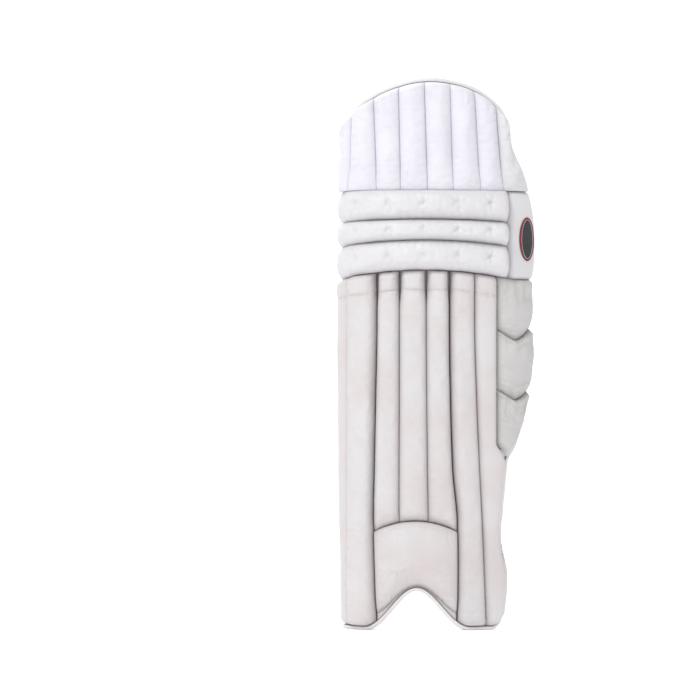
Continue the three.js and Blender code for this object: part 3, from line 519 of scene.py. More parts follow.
def cover(name, node, place, rise, counts, material, side=1, base=seat, slack=None,
          extra_shade=None):
    """A stuffed piece. Its face is a grid over a region of the board, at the rise above the base;
    its back is the same grid at the base, and strips join them. The rise is a function of the
    shares, the girth, the height and the distances from the four seams, in millimetres. Slack is
    how much bigger the cloth is cut than its place, and how far it may move when it settles. The
    seam attribute paints shade near the seams and over the whole back, and the last argument
    adds painted shade of its own, by the same values."""
    shares = [np.linspace(0, 1, count) for count in counts]
    across, up = (t - 0.55 * np.sin(2 * np.pi * t) / (2 * np.pi) for t in shares)
    across, up = np.meshgrid(across, up)

    def spots(a, u):
        """What a rise may depend on, at shares across and up the piece."""
        girth, height = place(a, u)
        sides = [place(a * 0 + edge, u)[0] for edge in (0.0, 1.0)]
        ends = [place(a, u * 0 + edge)[1] for edge in (0.0, 1.0)]
        return SimpleNamespace(
            across=a, up=u, girth=girth, height=height, left=girth - sides[0],
            right=sides[1] - girth, foot=height - ends[0], head=ends[1] - height)

    def face(a, u, lift=0.0):
        """Points of the stuffed face at shares across and up the piece, lifted off it."""
        s = spots(np.asarray(a, float), np.asarray(u, float))
        return board(s.girth, s.height, base + side * (rise(s) + lift))

    s = spots(across, up)
    near = np.minimum(np.minimum(s.left, s.right), np.minimum(s.foot, s.head))
    front = board(s.girth, s.height, base + side * rise(s))
    back = board(s.girth, s.height, base)
    rows, columns = across.shape
    number = np.arange(rows * columns).reshape(rows, columns)
    behind = number + rows * columns
    quads = np.stack([number[:-1, :-1], number[:-1, 1:], number[1:, 1:], number[1:, :-1]], -1)
    parts = [quads.reshape(-1, 4), quads.reshape(-1, 4)[:, ::-1] + rows * columns]
    loop = np.concatenate([number[0, :-1], number[:-1, -1], number[-1, :0:-1], number[:0:-1, 0]])
    under = loop + rows * columns
    parts.append(np.stack([loop, under, np.roll(under, -1), np.roll(loop, -1)], -1))
    uv = np.stack([s.girth, s.height], -1).reshape(-1, 2)
    # Painted shade: darker near the seams, where the cover sinks in, and fully over the back, which lies
    # against the board.
    seam_shade = 0.6 * np.exp(-np.maximum(near, 0) / 2.2)
    if extra_shade:
        seam_shade = np.clip(seam_shade + extra_shade(s), 0, 1)
    obj = closed_mesh(
        name, np.concatenate([front.reshape(-1, 3), back.reshape(-1, 3)]),
        [tuple(q) for q in np.concatenate(parts).tolist()], np.concatenate([uv, uv]),
        np.concatenate([seam_shade.ravel(), np.ones(rows * columns)]))
    finish_piece(obj, material, [node])
    if slack:
        hold = np.exp(-np.maximum(near - 0.8, 0) / 3.0)
        sewn_covers.append((obj, np.concatenate([hold.ravel(), np.ones(behind.size)]), *slack))
    return face


def face_line(face, across, up, lift=0.0):
    """Points and normals of a line on a face, from shares, for a row of stitches."""
    across, up = np.broadcast_arrays(np.asarray(across, float), np.asarray(up, float))
    points = face(across, up, lift)
    one = face(np.clip(across + 0.01, 0, 1), up, lift) - face(np.clip(across - 0.01, 0, 1), up, lift)
    two = face(across, np.clip(up + 0.004, 0, 1), lift) - face(across, np.clip(up - 0.004, 0, 1), lift)
    normals = np.cross(one, two)
    return points, normals / np.linalg.norm(normals, axis=1, keepdims=True)


roll_leather = leather("roll_leather", (0.585, 0.57, 0.575), (0.56, 0.51, 0.515),
                       (0.47, 0.43, 0.435), 0.5)
deep_seams = (2, 5)


def seam_room(index, height):
    """Half the gap at a seam: wider by the deep seams, and near the knee by the middle four."""
    room = seam_gap / 2 + (0.3 if index in deep_seams else 0.0)
    near_knee = smooth(height, knee_foot - 50, knee_foot - 14)
    return room + (0.8 * near_knee if 2 <= index <= 5 else 0.0)


def crease_at(s):
    """Distance above the crease, which wanders a little."""
    return s.height - knee_line(s.girth) + crease_drop + 1.2 * drift(11, 40, s.girth)


crease_rows = []
for roll in range(1, 8):
    over_instep = 3 <= roll <= 5

    def shin_rise(s, roll=roll):
        """Stuffing between two valleys, less at the ends and at the crease, with pleats."""
        peak = edge_roll_rise if roll == 1 else shin_roll_rise
        ends = 0.3 + 0.7 * rounding(s.head, 9.0)
        ends = ends * (0.3 + 0.7 * rounding(s.foot, 16.0) if 3 <= roll <= 5
                       else 0.5 + 0.5 * rounding(s.foot, 8.0))
        crease = crease_at(s)
        depth = 0.65 + 0.35 * drift(12, 30, s.girth)
        fold = depth * (0.1 * np.exp(-((crease / 1.8) ** 2)) + 0.12 * np.exp(-((crease / 7.0) ** 2)))
        plump = 1 + 0.04 * smooth(crease, 0, 12) - 0.03 * smooth(-crease, 60, 200)
        near_knee = smooth(s.height, knee_foot - 50, knee_foot - 20)
        by_wing = smooth(s.height, instep_top + wing_foot_rise, instep_top + wing_foot_rise + 25)
        valleys = [10.0 * by_wing if index == 7 else 0.0 if index == 0
                   else 6.0 if index in deep_seams else 11.0 for index in (roll - 1, roll)]
        valley = valleys[0] * (1 - s.across) + valleys[1] * s.across
        valley = valley * (1 - 0.7 * near_knee * (3 <= roll <= 5))
        body_rise = valley + (peak - valley) * bulge(s.across, 3.6) * (1 - fold) * plump
        uneven = 0.4 * drift(roll, 70, s.girth, s.height) * bulge(s.across, 3)
        side_pleats = puckers(np.minimum(s.left, s.right), s.height, 20 + roll)
        crease_pleats = puckers(np.abs(crease), s.girth, 40 + roll, 7.0, 0.9, 5.0)
        end_pleats = puckers(np.minimum(s.foot, s.head), s.girth, 60 + roll, 6.5, 0.7, 6.0)
        return 2.0 + (body_rise - 2.0 + uneven + side_pleats + crease_pleats + end_pleats) * ends

    # Painted shade: an extra seam value darkens each roll along its stitched crease.
    face = cover(
        f"shin_roll_{roll}_cover", f"shin_roll_{roll}",
        between(
            lambda h, roll=roll: shin_seam(roll - 1, h) + (roll > 1) * seam_room(roll - 1, h),
            lambda h, roll=roll: shin_seam(roll, h) - seam_room(roll, h),
            (lambda g: instep_line(g) + seam_gap / 2) if over_instep else sole_line,
            lambda g: knee_line(g) - seam_gap / 2),
        shin_rise, (25, 150 if over_instep else 200), roll_leather, slack=(0.025, 1.4),
        extra_shade=lambda s: (0.45 + 0.3 * drift(13, 24, s.girth)) * np.exp(-((crease_at(s) / 2.4) ** 2)))
    span = np.linspace(0.06, 0.94, 30)
    foot = instep_line(0.0) if over_instep else rim_foot
    level = (knee_foot - crease_drop - 1.5 - foot) / (knee_foot - foot)
    crease_rows.append(face_line(face, span, level))
stitched("crease_stitches", crease_rows, thread_white, 3.0)

# Instep pad: one flat cushion of the same leather over the arch of the foot. It is fullest below
# its upper seam and thins towards the arch, where a raised seam runs along the welt.
instep_rise = 20.0


def arch_seam(girth):
    """The pad's lower seam: along the arch, and a little above it at both corners."""
    share = np.minimum(np.abs(girth - arch_centre) / arch_half_width, 1)
    return sole_line(girth) + 1.5 + instep_sag * share**2


def instep_stuffing(s):
    """Full above the lower seam, and a flat hem below it that is sewn to the welt."""
    above = s.height - arch_seam(s.girth)
    sides = 0.3 + 0.7 * bulge(s.across, 5.0)
    full = rounding(np.maximum(above, 0), 26.0) * (0.45 + 0.55 * rounding(s.head, 6.0))
    hem = 7.5 * (0.5 + 0.5 * rounding(np.minimum(s.left, s.right), 3.0))
    body_rise = hem + (instep_rise - hem) * sides * full - 1.6 * np.exp(-((above / 1.3) ** 2))
    side_pleats = puckers(np.minimum(s.left, s.right), s.height, 81, 9.0, 0.5, 6.0)
    end_pleats = puckers(s.head, s.girth, 82, 7.0, 0.8, 8.0)
    seam_pleats = puckers(np.abs(above), s.girth, 83, 6.0, 0.8, 5.0)
    return body_rise + 0.5 * drift(84, 60, s.girth, s.height) * full * sides + (
        side_pleats + end_pleats + seam_pleats)


# Painted shade: an extra seam value darkens the pad along its lower seam by the welt.
instep_face = cover(
    "instep_pad_cover", "instep_pad",
    between(lambda h: shin_seam(2, h) + 0.55, lambda h: shin_seam(5, h) - 0.55,
            sole_line, lambda g: instep_line(g) - seam_gap / 2),
    instep_stuffing, (80, 90), roll_leather, slack=(0.025, 1.4),
    extra_shade=lambda s: 0.5 * np.exp(-(((s.height - arch_seam(s.girth)) / 1.8) ** 2)))
stitched("instep_stitches", [face_line(instep_face, np.linspace(0.04, 0.96, 90), 0.035)],
         thread_white)

# Knee rolls: three thick rolls across the knee. Short ties pulled through the stuffing leave a row
# of dimples in each. The upper one runs straight into the top hat.
knee_roll_rise, panel_seam = 26.0, 103.0
tie_girths = np.array([-78.5, -41.5, -1.2, 38.0, 77.0])
# A lighter copy of the roll leather: painted light on the knee rolls and the side panel.
lit_knee_leather = leather("lit_knee_leather", (0.635, 0.63, 0.65), (0.60, 0.59, 0.61),
                       (0.55, 0.53, 0.55), 0.48)
# Each roll's name, head seam and its sag, row of ties and its sag, and seed
knee_rolls = (
    ("lower", lower_roll_top, 0.7, 469.0, 0.45, 95),
    ("middle", middle_roll_top, 0.3, 501.5, 0.3, 96),
    ("upper", knee_top, 0.0, 534.0, 0.12, 95),
)


def knee_seam(top, sag):
    """A seam between knee rolls: level in the middle and lower at both sides."""
    return lambda g: top - sag * knee_sag * np.minimum(np.abs(g) / (3.6 * roll_girth), 1) ** 2


below = knee_line
for name, top, sag, tie_height, tie_sag, seed in knee_rolls:
    def knee_rise(s, name=name, tie_height=tie_height, tie_sag=tie_sag, seed=seed):
        """A full roll, flatter where it turns back, with a dimple and short folds at each tie."""
        turned = smooth(-s.girth, corner_girth * 0.85, inner_girth * 0.9)
        peak = knee_roll_rise * (1 - turned) + edge_roll_rise * turned
        full = 0.4 + 0.6 * bulge(s.up, 2.8)
        if name == "upper":
            full = np.where(s.up > 0.5, 0.5 + 0.5 * bulge(s.up, 2.2), full)
        ends = rounding(s.left, 9.0) * (0.35 + 0.65 * rounding(s.right, 11.0))
        height = 2.0 + (peak - 2.0) * full * ends
        for k, tie in enumerate(tie_girths):
            level = tie_height - tie_sag * knee_sag * min(abs(tie) / (3.6 * roll_girth), 1) ** 2
            x, z = s.girth - tie, s.height - level
            far, turn = np.hypot(x, z), np.arctan2(z, x)
            pull = 3.4 * np.exp(-((far / 3.4) ** 2)) + 1.3 * np.exp(-((far / 8.5) ** 2))
            folds = 0.5 * np.exp(-((far - 5.5) / 3.4) ** 2) * np.cos(5 * turn + k)
            height = height - pull + folds * full
        uneven = 0.55 * drift(seed, 55, s.girth, s.height) * full
        pleats = puckers(np.minimum(s.foot, s.head + (name == "upper") * 30), s.girth, seed + 5,
                         9.0, 0.8, 6.0)
        return height + uneven + pleats * ends

    head = knee_seam(top, sag)
    face = cover(
        f"knee_roll_{name}_cover", f"knee_roll_{name}",
        between(lambda h: rim_inset - inner_edge(h), lambda h: 0 * h + panel_seam - seam_gap / 2,
                lambda g, foot=below: foot(g) + seam_gap / 2,
                lambda g, head=head: head(g) - seam_gap / 2),
        knee_rise, (150, 30), lit_knee_leather, slack=(0.03, 1.6))
    below = head

# Side panel of the knee: a flat padded panel that closes the rolls on the outer side. It carries a
# plain oval patch of dark coated cloth, sewn on round its edge.
side_panel_rise = 13.0
patch_girth, patch_height, patch_half = 128.0, 489.0, (10.5, 26.0)


def panel_rise(s):
    """A flat face with a rounded rim, puckered along its seams."""
    edge = np.minimum(np.minimum(s.left, s.right), np.minimum(s.foot, s.head))
    flat = (0.35 + 0.65 * rounding(s.left, 7.0)) * rounding(s.right, 8.0)
    flat = flat * (0.45 + 0.55 * rounding(np.minimum(s.foot, s.head), 6.0))
    return 2.0 + (side_panel_rise - 2.0) * flat + puckers(edge, s.height + s.girth, 110, 9.0, 0.4)


panel_place = between(
    lambda h: 0 * h + panel_seam + seam_gap / 2, lambda h: outer_edge(h) - rim_inset,
    lambda g: knee_line(g) + seam_gap / 2, lambda g: 0 * g + knee_top - seam_gap / 2)
panel_face = cover("knee_side_panel_cover", "knee_side_panel", panel_place, panel_rise, (44, 80),
                   lit_knee_leather)
ring, reach = np.meshgrid(np.linspace(0, 2 * np.pi, 96, endpoint=False), np.linspace(0, 1, 12)[1:],
                          indexing="ij")
patch_x = patch_girth + patch_half[0] * reach * np.cos(ring)
patch_z = patch_height + patch_half[1] * reach * np.sin(ring)


def panel_top(girth, height, lift):
    """The panel's face at a girth and height, lifted off it."""
    sides = (outer_edge(height) - rim_inset - girth, girth - panel_seam - seam_gap / 2)
    rise = 2.0 + (side_panel_rise - 2.0) * rounding(np.minimum(*sides), 8.0)
    return board(girth, height, seat + rise + lift)


skin = panel_top(patch_x, patch_z, 0.25 + 0.75 * rounding((1 - reach) * 9, 1.0))
centre = panel_top(np.array([patch_girth]), np.array([patch_height]), 1.0)
sole = panel_top(patch_x[:, -1], patch_z[:, -1], -0.6)
rings = np.concatenate([skin.transpose(1, 0, 2), sole[None]])
count = rings.shape[1]
index = np.arange(count)
faces = []
for layer in range(len(rings) - 1):
    low = layer * count + index
    high = low + count
    faces += np.stack([low, np.roll(low, -1), np.roll(high, -1), high], -1).tolist()
middle, bottom = len(rings) * count, len(rings) * count + 1
faces += [(middle, int(b), int(a)) for a, b in zip(index, np.roll(index, -1))]
last = (len(rings) - 1) * count + index
faces += [(bottom, int(a), int(b)) for a, b in zip(last, np.roll(last, -1))]
patch_points = np.concatenate([rings.reshape(-1, 3), centre, sole.mean(0)[None]])
patch = closed_mesh("side_patch", patch_points, [tuple(f) for f in faces])
patch_cloth = leather("patch_cloth", (0.03, 0.03, 0.034), (0.022, 0.022, 0.026),
                      (0.05, 0.05, 0.05), 0.55)
finish_piece(patch, patch_cloth)
patch_border = leather("patch_border", (0.26, 0.022, 0.03), (0.2, 0.018, 0.024),
                       (0.1, 0.03, 0.03), 0.5)
around = np.linspace(0, 2 * np.pi, 96, endpoint=False)[:, None]
section = np.linspace(0, 2 * np.pi, 10, endpoint=False)[None]
border_reach = 0.55 + 0.85 * np.cos(section)
border_x = patch_girth + (patch_half[0] + border_reach) * np.cos(around)
border_z = patch_height + (patch_half[1] + border_reach) * np.sin(around)
border = tube("side_patch_border", panel_top(border_x, border_z, 0.75 + 0.7 * np.sin(section)),
              closed=True)
finish_piece(border, patch_border)
oval = np.linspace(0, 2 * np.pi, 120)
oval_x = patch_girth + (patch_half[0] - 1.6) * np.cos(oval)
oval_z = patch_height + (patch_half[1] - 1.6) * np.sin(oval)
oval_up = panel_top(oval_x, oval_z, 2) - panel_top(oval_x, oval_z, 0)
oval_line = (panel_top(oval_x, oval_z, 1.0), oval_up)
stitched("patch_stitches", [oval_line], thread_white, 2.6)

# Top hat: eight soft upright channels of white coated cloth above the knee, quilted through to the
# back. Their seams are shallow and fade where they meet the upper knee roll.
top_hat_rise = 14.0
top_seams = np.array([
    (3.0, -2.97, -1.88, -0.93, 0.13, 1.14, 2.24, 3.17),
    (4.0, -2.83, -2.05, -1.02, 0.0, 1.02, 1.98, 2.83),
])
hat_cloth = woven("top_hat_cloth", (0.69, 0.68, 0.735), (0.65, 0.64, 0.695), (0.58, 0.565, 0.64),
                  0.0007, 0.72)
# A greyer copy of the top hat cloth for the outer channel: painted shade on the side that faces away from
# the light.
shaded_side_cloth = woven("top_hat_side_cloth", (0.66, 0.66, 0.67), (0.62, 0.62, 0.64), (0.5, 0.5, 0.53),
                   0.0007, 0.72)


def top_seam(index, height):
    """Girth of a seam between the channels: 0 and 8 are the rims."""
    if index == 0:
        return rim_inset - inner_edge(height)
    if index == 8:
        return outer_edge(height) - rim_inset
    return roll_girth * follow(top_seams, index, height)


for roll in range(1, 9):
    def hat_rise(s, roll=roll):
        """A soft channel between shallow valleys, which fade towards the upper knee roll."""
        merge = smooth(s.foot, 0, 40)
        valley = 8.0 + 4.0 * (1 - merge)
        ends = (0.25 + 0.75 * rounding(s.head, 8.0)) * (0.88 + 0.12 * rounding(s.foot, 8.0))
        height = valley + (top_hat_rise + 1 - valley) * bulge(s.across, 2.4)
        if roll in (1, 8):
            height = 2 + (height - 2) * rounding(s.left if roll == 1 else s.right, 7.0)
        uneven = 0.6 * drift(120 + roll, 48, s.girth, s.height) * bulge(s.across, 3)
        pleats = puckers(np.minimum(s.left, s.right), s.height, 130 + roll, 10.0, 0.55, 6.0)
        head_pleats = puckers(s.head, s.girth, 140 + roll, 6.0, 0.8, 7.0)
        return 1.2 + (height - 1.2 + uneven + pleats) * ends + head_pleats * ends

    cloth = shaded_side_cloth if roll == 8 else hat_cloth
    cover(f"top_hat_roll_{roll}_cover", f"top_hat_roll_{roll}",
          between(lambda h, roll=roll: top_seam(roll - 1, h) + (roll > 1) * 0.1,
                  lambda h, roll=roll: top_seam(roll, h) - (roll < 8) * 0.1,
                  lambda g: 0 * g + knee_top + seam_gap / 2,
                  lambda g: upper_edge(g) - rim_inset),
          hat_rise, (24, 80), cloth, slack=(0.03, 1.6))

# Wing: the flap round the outer side of the calf, in three quilted sections of the roll leather,
# drawn with a darker copy of it as painted shade, since the wing faces away from the light.
# The seams between them point down in the middle, and draw the leather into short folds.
wing_rise, upper_chevron_rise, lower_chevron_rise = 15.0, 241.0, 166.0
chevron_depth, chevron_tip, chevron_round = 15.0, 0.4, 0.08


def chevron(height):
    """A v-shaped seam across the wing, with a rounded point."""
    def line(girth):
        share = (girth - wing_girth) / (outer_girth - wing_girth)
        bend = np.hypot(share - chevron_tip, chevron_round) - chevron_round
        return height - chevron_depth * (1 - bend / chevron_tip)
    return line


upper_v, lower_v = chevron(instep_top + upper_chevron_rise), chevron(instep_top + lower_chevron_rise)
# A darker copy of the roll leather: painted shade on the wing.
shaded_wing_leather = leather("shaded_wing_leather", (0.52, 0.505, 0.505), (0.48, 0.465, 0.465),
                       (0.41, 0.385, 0.385), 0.52)
wing_tip = instep_top + wing_foot_rise + welt_width
for number, (name, foot, head, rows) in enumerate((
        ("lower", lambda g: 0 * g + wing_tip, lower_v, 80),
        ("middle", lower_v, upper_v, 70),
        ("upper", upper_v, knee_line, 60))):
    def wing_stuffing(s, number=number):
        """A padded section with a ridge under its head seam and short folds at both seams."""
        sides = (0.5 + 0.5 * rounding(s.left, 10.0)) * rounding(s.right, 9.0)
        ends = (0.6 + 0.4 * rounding(s.head, 5.0)) * (0.45 + 0.55 * rounding(s.foot, 18.0))
        ridge = 0.2 * np.exp(-(((s.head - 4.5) / 2.2) ** 2)) * (number < 2) * rounding(s.right, 18)
        height = 1.6 + (wing_rise - 1.6) * sides * ends * (1 + ridge)
        folds = puckers(s.head, s.girth, 150 + number, 13.0, 1.5, 9.0)
        folds += puckers(s.foot, s.girth, 160 + number, 12.0, 1.3, 8.0)
        uneven = 0.8 * drift(170 + number, 42, s.girth, s.height)
        rim = puckers(np.minimum(s.left, s.right), s.height, 180 + number, 9.0, 0.5, 5.0)
        return height + (folds + uneven + rim) * sides

    cover(f"wing_{name}_cover", f"wing_{name}",
          between(lambda h: shin_seam(7, h - 4 * seam_gap) + seam_gap / 2,
                  lambda h: outer_edge(h) - rim_inset,
                  lambda g, foot=foot: foot(g) + 0.7 * seam_gap,
                  lambda g, head=head: head(g) - 0.7 * seam_gap),
          wing_stuffing, (44, rows), shaded_wing_leather, slack=(0.05, 2.5))

# Bolsters and centre strip: on the leg side two long soft cushions of brushed white lining keep the
# board off the shin bone, with a flat strip of the same cloth between them.
lining_seat, bolster_rise, strip_rise, lining_edge = 0.95, 24.0, 9.0, 97.0
lining_base = -(board_thickness + lining_seat)
wing_seams = np.array([(0.7, 0.47), (1.2, 0.53), (1.4, 0.62), (1.65, 0.664), (3.0, 0.664)])
lining_cloth = woven("brushed_lining", (0.70, 0.675, 0.76), (0.65, 0.625, 0.71),
                     (0.45, 0.42, 0.49), 0.0009, 0.88)


def wing_seam(height):
    """Girth of the seam between the outer bolster and the lining of the wing."""
    return outer_girth * follow(wing_seams, 1, height)


def lining_foot(girth):
    """The seam between the leg linings and the lining of the instep flap."""
    return 0 * girth + instep_top - 2 * instep_sag


def bolster_top(girth):
    """The seam at the top of the bolsters."""
    return knee_line(girth) + seam_gap


strip_left, strip_right = arch_centre * 2.05, roll_girth * 0.54


def bolster_stuffing(s):
    """A long cushion, round across and at both ends, with wide soft pleats along its seams."""
    seed = 200 if s.girth.mean() > 0 else 210
    sides = bulge(s.across, 2.8)
    ends = rounding(s.head, 26.0) * rounding(s.foot, 30.0)
    height = 1.5 + (bolster_rise - 1.5) * sides * ends
    uneven = 1.0 * drift(seed, 85, s.girth, s.height) * sides
    pleats = puckers(np.minimum(s.left, s.right), s.height, seed + 1, 17.0, 1.1, 9.0)
    end_pleats = puckers(np.minimum(s.head, s.foot), s.girth, seed + 2, 11.0, 1.6, 12.0)
    return height + (uneven + pleats) * ends + end_pleats * sides


cover("outer_bolster_cover", "bolster_outer",
      between(lambda h: 0 * h + strip_right + seam_gap / 2, lambda h: wing_seam(h) - seam_gap / 2,
              lining_foot, bolster_top),
      bolster_stuffing, (56, 150), lining_cloth, -1, lining_base, slack=(0.05, 3.0))
cover("inner_bolster_cover", "bolster_inner",
      between(lambda h: 0 * h + seam_gap / 2 - lining_edge, lambda h: 0 * h + strip_left - seam_gap / 2,
              lining_foot, bolster_top),
      bolster_stuffing, (60, 150), lining_cloth, -1, lining_base, slack=(0.05, 3.0))


def strip_stuffing(s):
    """A thin flat strip with rounded edges."""
    sides = rounding(np.minimum(s.left, s.right), 6.0)
    ends = rounding(np.minimum(s.head, s.foot), 8.0)
    pleats = puckers(np.minimum(s.left, s.right), s.height, 221, 12.0, 0.5)
    return 1.5 + (strip_rise - 1.5) * sides * ends + 0.4 * drift(220, 60, s.girth, s.height) + pleats


strip_cloth = woven("strip_cloth", (0.71, 0.69, 0.715), (0.67, 0.65, 0.675), (0.46, 0.43, 0.45),
                    0.0008, 0.8)
strip_face = cover(
    "centre_strip_cover", "centre_strip",
    between(lambda h: 0 * h + strip_left + seam_gap / 2, lambda h: 0 * h + strip_right - seam_gap / 2,
            lining_foot, bolster_top),
    strip_stuffing, (24, 150), strip_cloth, -1, lining_base)
stitched("strip_stitches",
         [face_line(strip_face, edge, np.linspace(0.02, 0.98, 260)) for edge in (0.16, 0.84)],
         thread_white)

# Linings of the knee, the wing and the inner wall: the same brushed cloth over thin foam.
knee_lining_rise, wall_lining_rise, welt_margin = 8.0, 5.0, welt_fold + 1.2


def thin_lining(rise, seed, fold=12.0, edge_radius=6.0, wave=0.6):
    """Thin foam under cloth: flat, rounded at its seams, with shallow pleats and unevenness."""
    def stuffing(s):
        """The lining's thickness at the given spots."""
        sides = rounding(np.minimum(s.left, s.right), edge_radius)
        ends = rounding(np.minimum(s.head, s.foot), edge_radius)
        near = np.minimum(np.minimum(s.left, s.right), np.minimum(s.head, s.foot))
        return (1.2 + (rise - 1.2) * sides * ends
                + wave * drift(seed, 50, s.girth, s.height) * sides * ends
                + puckers(near, s.height + s.girth, seed + 1, fold, wave, 6.0))
    return stuffing


def inner_margin(height):
    """Girth of the lining's edge inside the welt on the inner side."""
    return welt_margin - inner_edge(height)


def outer_margin(height):
    """Girth of the lining's edge inside the welt on the outer side."""
    return outer_edge(height) - welt_margin


cover("knee_lining_cover", "knee_lining",
      between(lambda h: 0 * h + seam_gap / 2 - lining_edge, lambda h: wing_seam(h) - seam_gap / 2,
              lambda g: knee_line(g) + 2 * seam_gap, lambda g: 0 * g + knee_top - seam_gap),
      thin_lining(knee_lining_rise, 230), (90, 50), lining_cloth, -1, lining_base,
      slack=(0.04, 1.5))
cover("wing_lining_cover", "wing_lining",
      between(lambda h: wing_seam(h) + seam_gap / 2, outer_margin, lining_foot,
              lambda g: 0 * g + knee_top - seam_gap),
      thin_lining(wall_lining_rise, 240, 14.0, 4.0, 0.5), (36, 170), lining_cloth, -1,
      lining_base)
cover("inner_wall_lining_cover", "inner_wall_lining",
      between(inner_margin, lambda h: 0 * h - lining_edge - seam_gap / 2, lining_foot,
              lambda g: 0 * g + knee_top - seam_gap),
      thin_lining(wall_lining_rise, 250, 14.0, 3.5, 0.4), (18, 170), lining_cloth, -1,
      lining_base)

# Linings of the top hat: a puffed panel on each side, and a centre channel that narrows towards
# the knee. The quilting seams of the front show through as the seams between them.
hat_lining_rise, hat_lining_base = 9.0, -(board_thickness + 1.3)
channel = np.array([(3.0, -0.6, 0.82), (4.0, -1.45, 1.65)])


def channel_left(height):
    """Girth of the seam on the inner side of the centre channel."""
    return roll_girth * follow(channel, 1, height)


def channel_right(height):
    """Girth of the seam on the outer side of the centre channel."""
    return roll_girth * follow(channel, 2, height)


hat_panels = (("inner", inner_margin, channel_left, 60), ("centre", channel_left, channel_right, 44),
              ("outer", channel_right, outer_margin, 60))
for number, (name, left, right, columns) in enumerate(hat_panels):
    cover(f"top_hat_lining_{name}_cover", f"top_hat_lining_{name}",
          between(lambda h, left=left: left(h) + seam_gap / 2,
                  lambda h, right=right: right(h) - seam_gap / 2,
                  lambda g: 0 * g + knee_top + seam_gap, lambda g: upper_edge(g) - welt_margin),
          thin_lining(hat_lining_rise, 260 + 5 * number, 11.0, 13.0, 0.9), (columns, 80),
          lining_cloth, -1, hat_lining_base, slack=(0.05, 2.2))

# Linings of the instep flap: bare canvas inside the two foot lobes and over the arch.
lobe_rise = 6.0
lobe_inner, lobe_outer = -1.55 * roll_girth, 1.3 * roll_girth
flap_canvas = woven("flap_canvas", (0.58, 0.525, 0.48), (0.51, 0.455, 0.41), (0.36, 0.32, 0.28),
                    0.0012, 0.85, 30.0)
for number, (name, left, right) in enumerate((
        ("lobe_lining_inner", inner_margin, lambda h: 0 * h + lobe_inner),
        ("instep_lining", lambda h: 0 * h + lobe_inner, lambda h: 0 * h + lobe_outer),
        ("lobe_lining_outer", lambda h: 0 * h + lobe_outer, outer_margin))):
    cover(f"{name}_cover", name,
          between(lambda h, left=left: left(h) + seam_gap / 2,
                  lambda h, right=right: right(h) - seam_gap / 2,
                  lambda g: lower_edge(g) + welt_margin,
                  lambda g: lining_foot(g) - seam_gap),
          thin_lining(lobe_rise, 280 + 5 * number, 10.0, 5.0, 0.6), (46, 60), flap_canvas,
          -1, lining_base)

# Straps: brushed hook-and-loop webbing. Each is sewn inside the inner wall, or on the wrap, crosses
# the back of the leg, turns round a loop's bar and folds back on itself. A shorter anchor of the
# same webbing, two in a v at the calf, holds the loop's other bar to the wing.
strap_width, knee_strap_width, strap_thickness = 51.0, 31.0, 2.5
wrap_thickness, strap_reach, strap_inset, strap_lean = 7.0, 48.0, 7.0, np.radians(62)
loop_width, loop_bar, loop_thickness, turn_radius = 22.0, 4.0, 3.6, 4.6
loop_tall, knee_loop_tall, anchor_return, tab_split = 60.0, 40.0, 15.0, 20.0
webbing = woven("strap_webbing", (0.66, 0.625, 0.635), (0.59, 0.555, 0.565), (0.42, 0.385, 0.395),
                0.0013, 0.86, 34.0)
moulded = leather("moulded_plastic", (0.72, 0.705, 0.74), (0.7, 0.685, 0.72), (0.55, 0.53, 0.55),
                  0.36, 2600.0)


def strap_way(height, thickness):
    """The way of a strap in plan: a cubic Bezier curve from the inside of the wing to the inside
    of the inner wall, its ends leaving at a lean. Gives points, directions and its length."""
    out = -(board_thickness + lining_seat + wall_lining_rise + 0.8 * seat + thickness / 2)
    ends = []
    for girth in (float(outer_margin(height)) - strap_inset, float(inner_margin(height)) + strap_inset):
        root = board(girth, height, out)[:2]
        step = board(girth + np.sign(girth) * 0.01, height, out)[:2] - root
        turn = max(np.arcsin(step[1] / np.linalg.norm(step)), strap_lean)
        ends.append((root, np.array([np.sign(girth) * np.cos(turn), np.sin(turn)])))
    knots = np.array([ends[0][0], ends[0][0] + ends[0][1] * strap_reach,
                      ends[1][0] + ends[1][1] * strap_reach, ends[1][0]])

    def spot(share, lift):
        """Points at shares of the way, lifted off it, with its direction and normal there."""
        t = np.atleast_1d(share)[:, None]
        point = ((1 - t) ** 3 * knots[0] + 3 * t * (1 - t) ** 2 * knots[1]
                 + 3 * t**2 * (1 - t) * knots[2] + t**3 * knots[3])
        way = 3 * ((1 - t) ** 2 * (knots[1] - knots[0]) + 2 * t * (1 - t) * (knots[2] - knots[1])
                   + t**2 * (knots[3] - knots[2]))
        way /= np.linalg.norm(way, axis=1, keepdims=True)
        normal = np.stack([way[:, 1], -way[:, 0]], -1)
        return point + normal * np.atleast_1d(lift)[:, None], way, normal

    dense = spot(np.linspace(0, 1, 400), 0.0)[0]
    return spot, np.linalg.norm(np.diff(dense, axis=0), axis=1).sum()


def resampled(line, step):
    """The same line with even steps."""
    run = np.concatenate([[0], np.cumsum(np.linalg.norm(np.diff(line, axis=0), axis=1))])
    places = np.linspace(0, run[-1], int(run[-1] / step) + 2)
    return np.stack([np.interp(places, run, line[:, i]) for i in range(2)], -1), places


